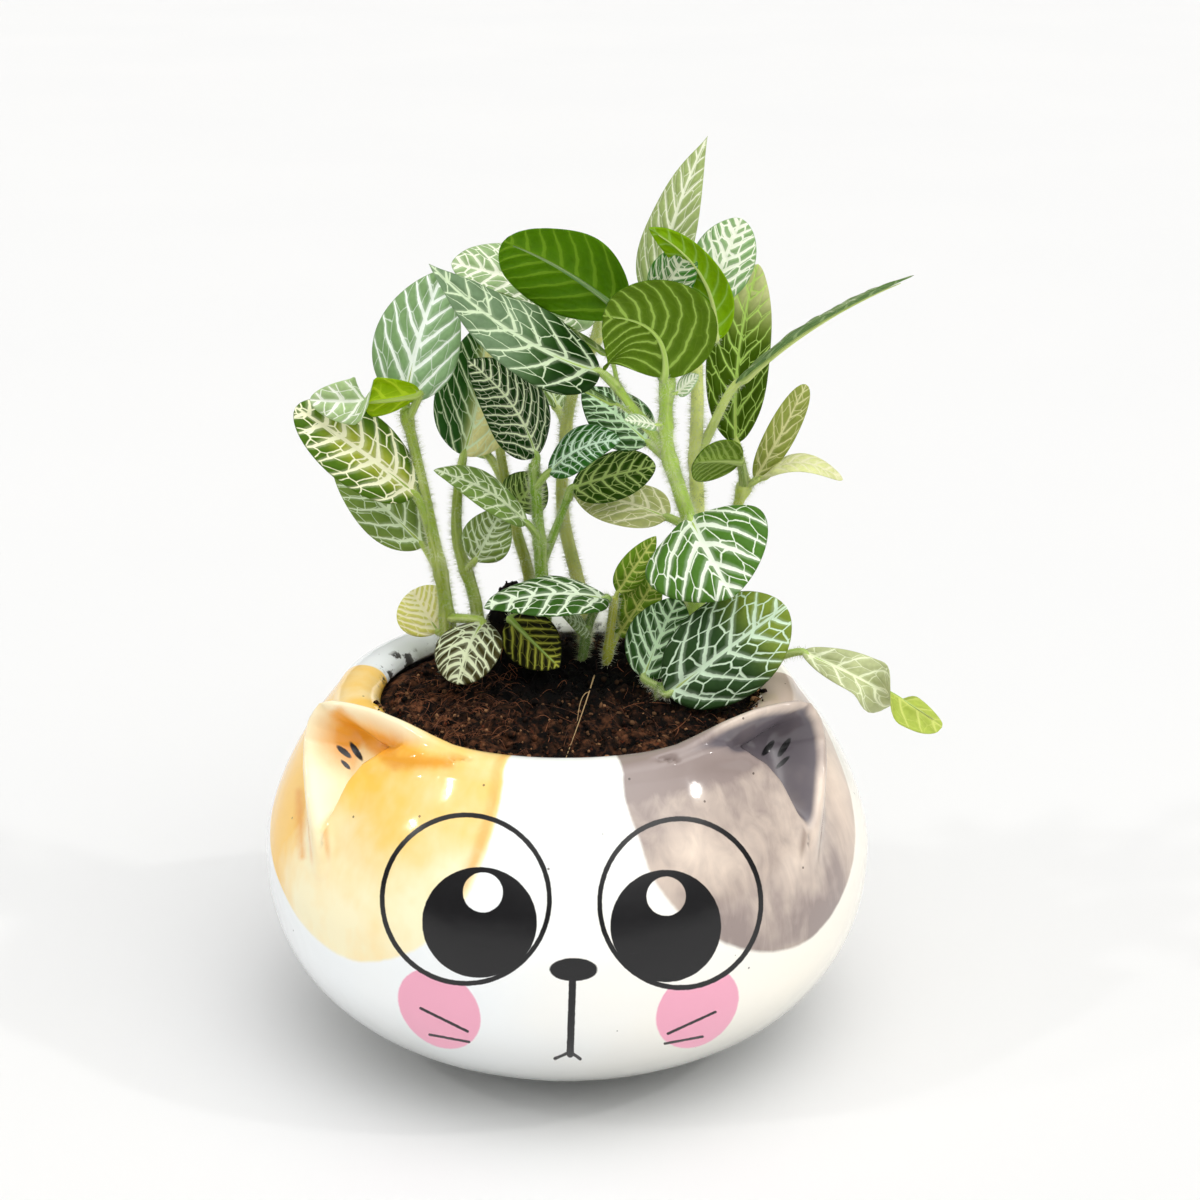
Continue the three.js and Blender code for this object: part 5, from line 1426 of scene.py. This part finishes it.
def stem_look():
    look = Look("stem_skin", specular=0.3)
    along, turn, _ = look.vector("stem_map")
    where = look.place()
    streak = look.noise(look.join(along * 0.1, turn.sine() * 1.6, turn.cosine() * 1.6), 1.0, 3.0, 0.5)
    blotch = look.noise(where, 0.16, 3.0)
    colour = look.layered(
        look.attribute("stem_colour"),
        (streak.ramp(0.35, 0.75) * 0.45, "stem light"),
        (blotch.ramp(0.5, 0.75) * 0.25, "stem green"),
        (look.split(where)[2].ramp(74.0, 68.0) * 0.6, "stem foot"),
    )
    return look.finish(colour, 0.45 + streak * 0.2, streak, depth_mm=0.1, strength=0.4)


def hair_look():
    look = Look("leaf_hair", specular=0.3)
    tone = look.noise(look.place(), 0.2, 1.0).ramp(0.35, 0.65)
    return look.finish(look.mix(tone, "hair", "shaded hair"), 0.6)


def swollen(path, radius, joints):
    """The radius along a stem: thinner upwards, thicker at each joint."""
    radii = radius * (0.98 - 0.42 * np.linspace(0, 1, len(path)))
    for joint in joints:
        away = np.linalg.norm(path - joint, axis=1)
        radii = radii * (1 + 0.2 * np.exp(-((away / 1.6) ** 2)))
    return radii


STEM_SIDES = 14
STEM_RIDGES = 0.035
STEM_HAIRS = {"per_mm": 44.0, "longest": 1.7}
PETIOLE_HAIRS = {"per_mm": 34.0, "longest": 1.2, "upto": 9}


def plant_pieces():
    stem, hair = stem_look(), hair_look()
    leaves = {name: leaf_look(name + "_veined") for name in ("leaf_light", "leaf_dark")}
    number = 0
    for index, (name, made) in enumerate(SHOOTS.items()):
        rng = np.random.default_rng(100 + index)
        shape, fuzz = Shape(), Shape()
        joints = [np.array(it["start"], float) for it in made["leaves"]]
        for radius, stops in made["stems"]:
            path = catmull(stops, 14)
            radii = swollen(path, radius, joints)
            frames = add_tube(shape, path, radii, made["stem"], STEM_SIDES, STEM_RIDGES)
            add_hairs(fuzz, frames, rng, STEM_HAIRS["per_mm"] * radius, STEM_HAIRS["longest"])
        rib = 0.6 * np.array(made["stem"]) + 0.4 * np.array(PETIOLE_TINT)
        for it in made["leaves"]:
            number += 1
            frames = add_petiole(shape, it, LOOKS[it["look"]].get("rib", rib))
            add_hairs(fuzz, frames, rng, **PETIOLE_HAIRS)
            add_blade(shape, it, number, rng)
        shape.build(name + "_foliage", [stem, leaves[made["slot"]]], made["slot"], [name])
        fuzz.build(name + "_hairs", [hair], made["slot"], smooth=False)


# The floor, a square that rises at its far edges: half its width and its height, in metres.
FLOOR_RINGS = [(0.5, 0.0), (6.0, 0.0), (9.0, 0.5), (11.0, 1.5)]
FLOOR_CORNERS = [(-1, -1), (1, -1), (1, 1), (-1, 1)]
FLOOR_COLOURS = ((0.84, 0.84, 0.84), (0.81, 0.815, 0.82))
# The light: a sky that is dim at the horizon and bright overhead, with one soft bright place, the key.
SKY_COLOUR = (1.0, 0.995, 0.985)
SKY_STRENGTH = 0.61
HORIZON_STRENGTH = 0.08
KEY_WAY = (0.24, -0.42, 0.87)
KEY_STRENGTH = 3.08
KEY_FOCUS = 8.0
# Three small suns give the highlights: where each stands, its strength, and its width in degrees.
SUN_COLOUR = (1.0, 0.985, 0.95)
SUNS = {
    "key_sparkle": ((0.72, -0.25, 0.65), 0.3, 2.2),
    "left_sparkle": ((-0.66, -0.33, 0.67), 0.2, 2.2),
    "left_glint": ((-0.82, -0.3, 0.48), 0.12, 1.4),
}
SENSOR_MM = 36.0


def stage_floor():
    mesh = bpy.data.meshes.new("floor")
    points = [(x * half, y * half, up) for half, up in FLOOR_RINGS for x, y in FLOOR_CORNERS]
    faces = [(0, 1, 2, 3)]
    for inner in range(0, len(points) - 4, 4):
        for k in range(4):
            after = (k + 1) % 4
            faces.append((inner + k, inner + 4 + k, inner + 4 + after, inner + after))
    mesh.from_pydata(points, [], faces)
    floor = bpy.data.objects.new("floor", mesh)
    bpy.context.scene.collection.objects.link(floor)
    look = Look("pale_floor", specular=0.1)
    tone = look.noise(look.place(), 0.004, 2.0)
    mesh.materials.append(look.finish(look.mix(tone, *FLOOR_COLOURS), 0.8))


def sky():
    world = bpy.data.worlds.new("studio")
    bpy.context.scene.world = world
    world.use_nodes = True
    tree = world.node_tree
    back = next(n for n in tree.nodes if n.type == "BACKGROUND")
    way = tree.nodes.new("ShaderNodeTexCoord").outputs["Generated"]
    parts = tree.nodes.new("ShaderNodeSeparateXYZ")
    plug(tree, parts.inputs[0], way)
    towards = tree.nodes.new("ShaderNodeVectorMath")
    towards.operation = "DOT_PRODUCT"
    plug(tree, towards.inputs[0], way)
    plug(tree, towards.inputs[1], unit(np.array(KEY_WAY)))
    key = Field(tree, towards.outputs["Value"]).upper(0.0) ** KEY_FOCUS * KEY_STRENGTH
    overhead = Field(tree, parts.outputs["Z"]).ramp(-0.1, 0.8)
    plug(tree, back.inputs["Color"], SKY_COLOUR)
    plug(tree, back.inputs["Strength"], overhead * (SKY_STRENGTH - HORIZON_STRENGTH) + HORIZON_STRENGTH + key)


def suns():
    for name, (way, energy, width) in SUNS.items():
        sun = bpy.data.lights.new(name, "SUN")
        sun.energy = energy
        sun.angle = math.radians(width)
        sun.color = SUN_COLOUR
        lamp = bpy.data.objects.new(name, sun)
        lamp.rotation_euler = Vector(way).to_track_quat("Z", "Y").to_euler()
        bpy.context.scene.collection.objects.link(lamp)


def photo_camera():
    camera = bpy.data.cameras.new("camera")
    camera.sensor_width = SENSOR_MM
    camera.lens = FOCAL_PX / PHOTO_PX * SENSOR_MM
    eye = bpy.data.objects.new("camera", camera)
    eye.location = CAMERA_PLACE * MM
    eye.rotation_euler = (math.pi / 2 - CAMERA_ELEVATION, 0, 0)
    bpy.context.scene.collection.objects.link(eye)
    bpy.context.scene.camera = eye
    bpy.context.scene.view_settings.view_transform = "Standard"


sky()
suns()
photo_camera()
stage_floor()
pot_piece()
soil_piece()
crumbs_piece()
fibres_piece()
plant_pieces()
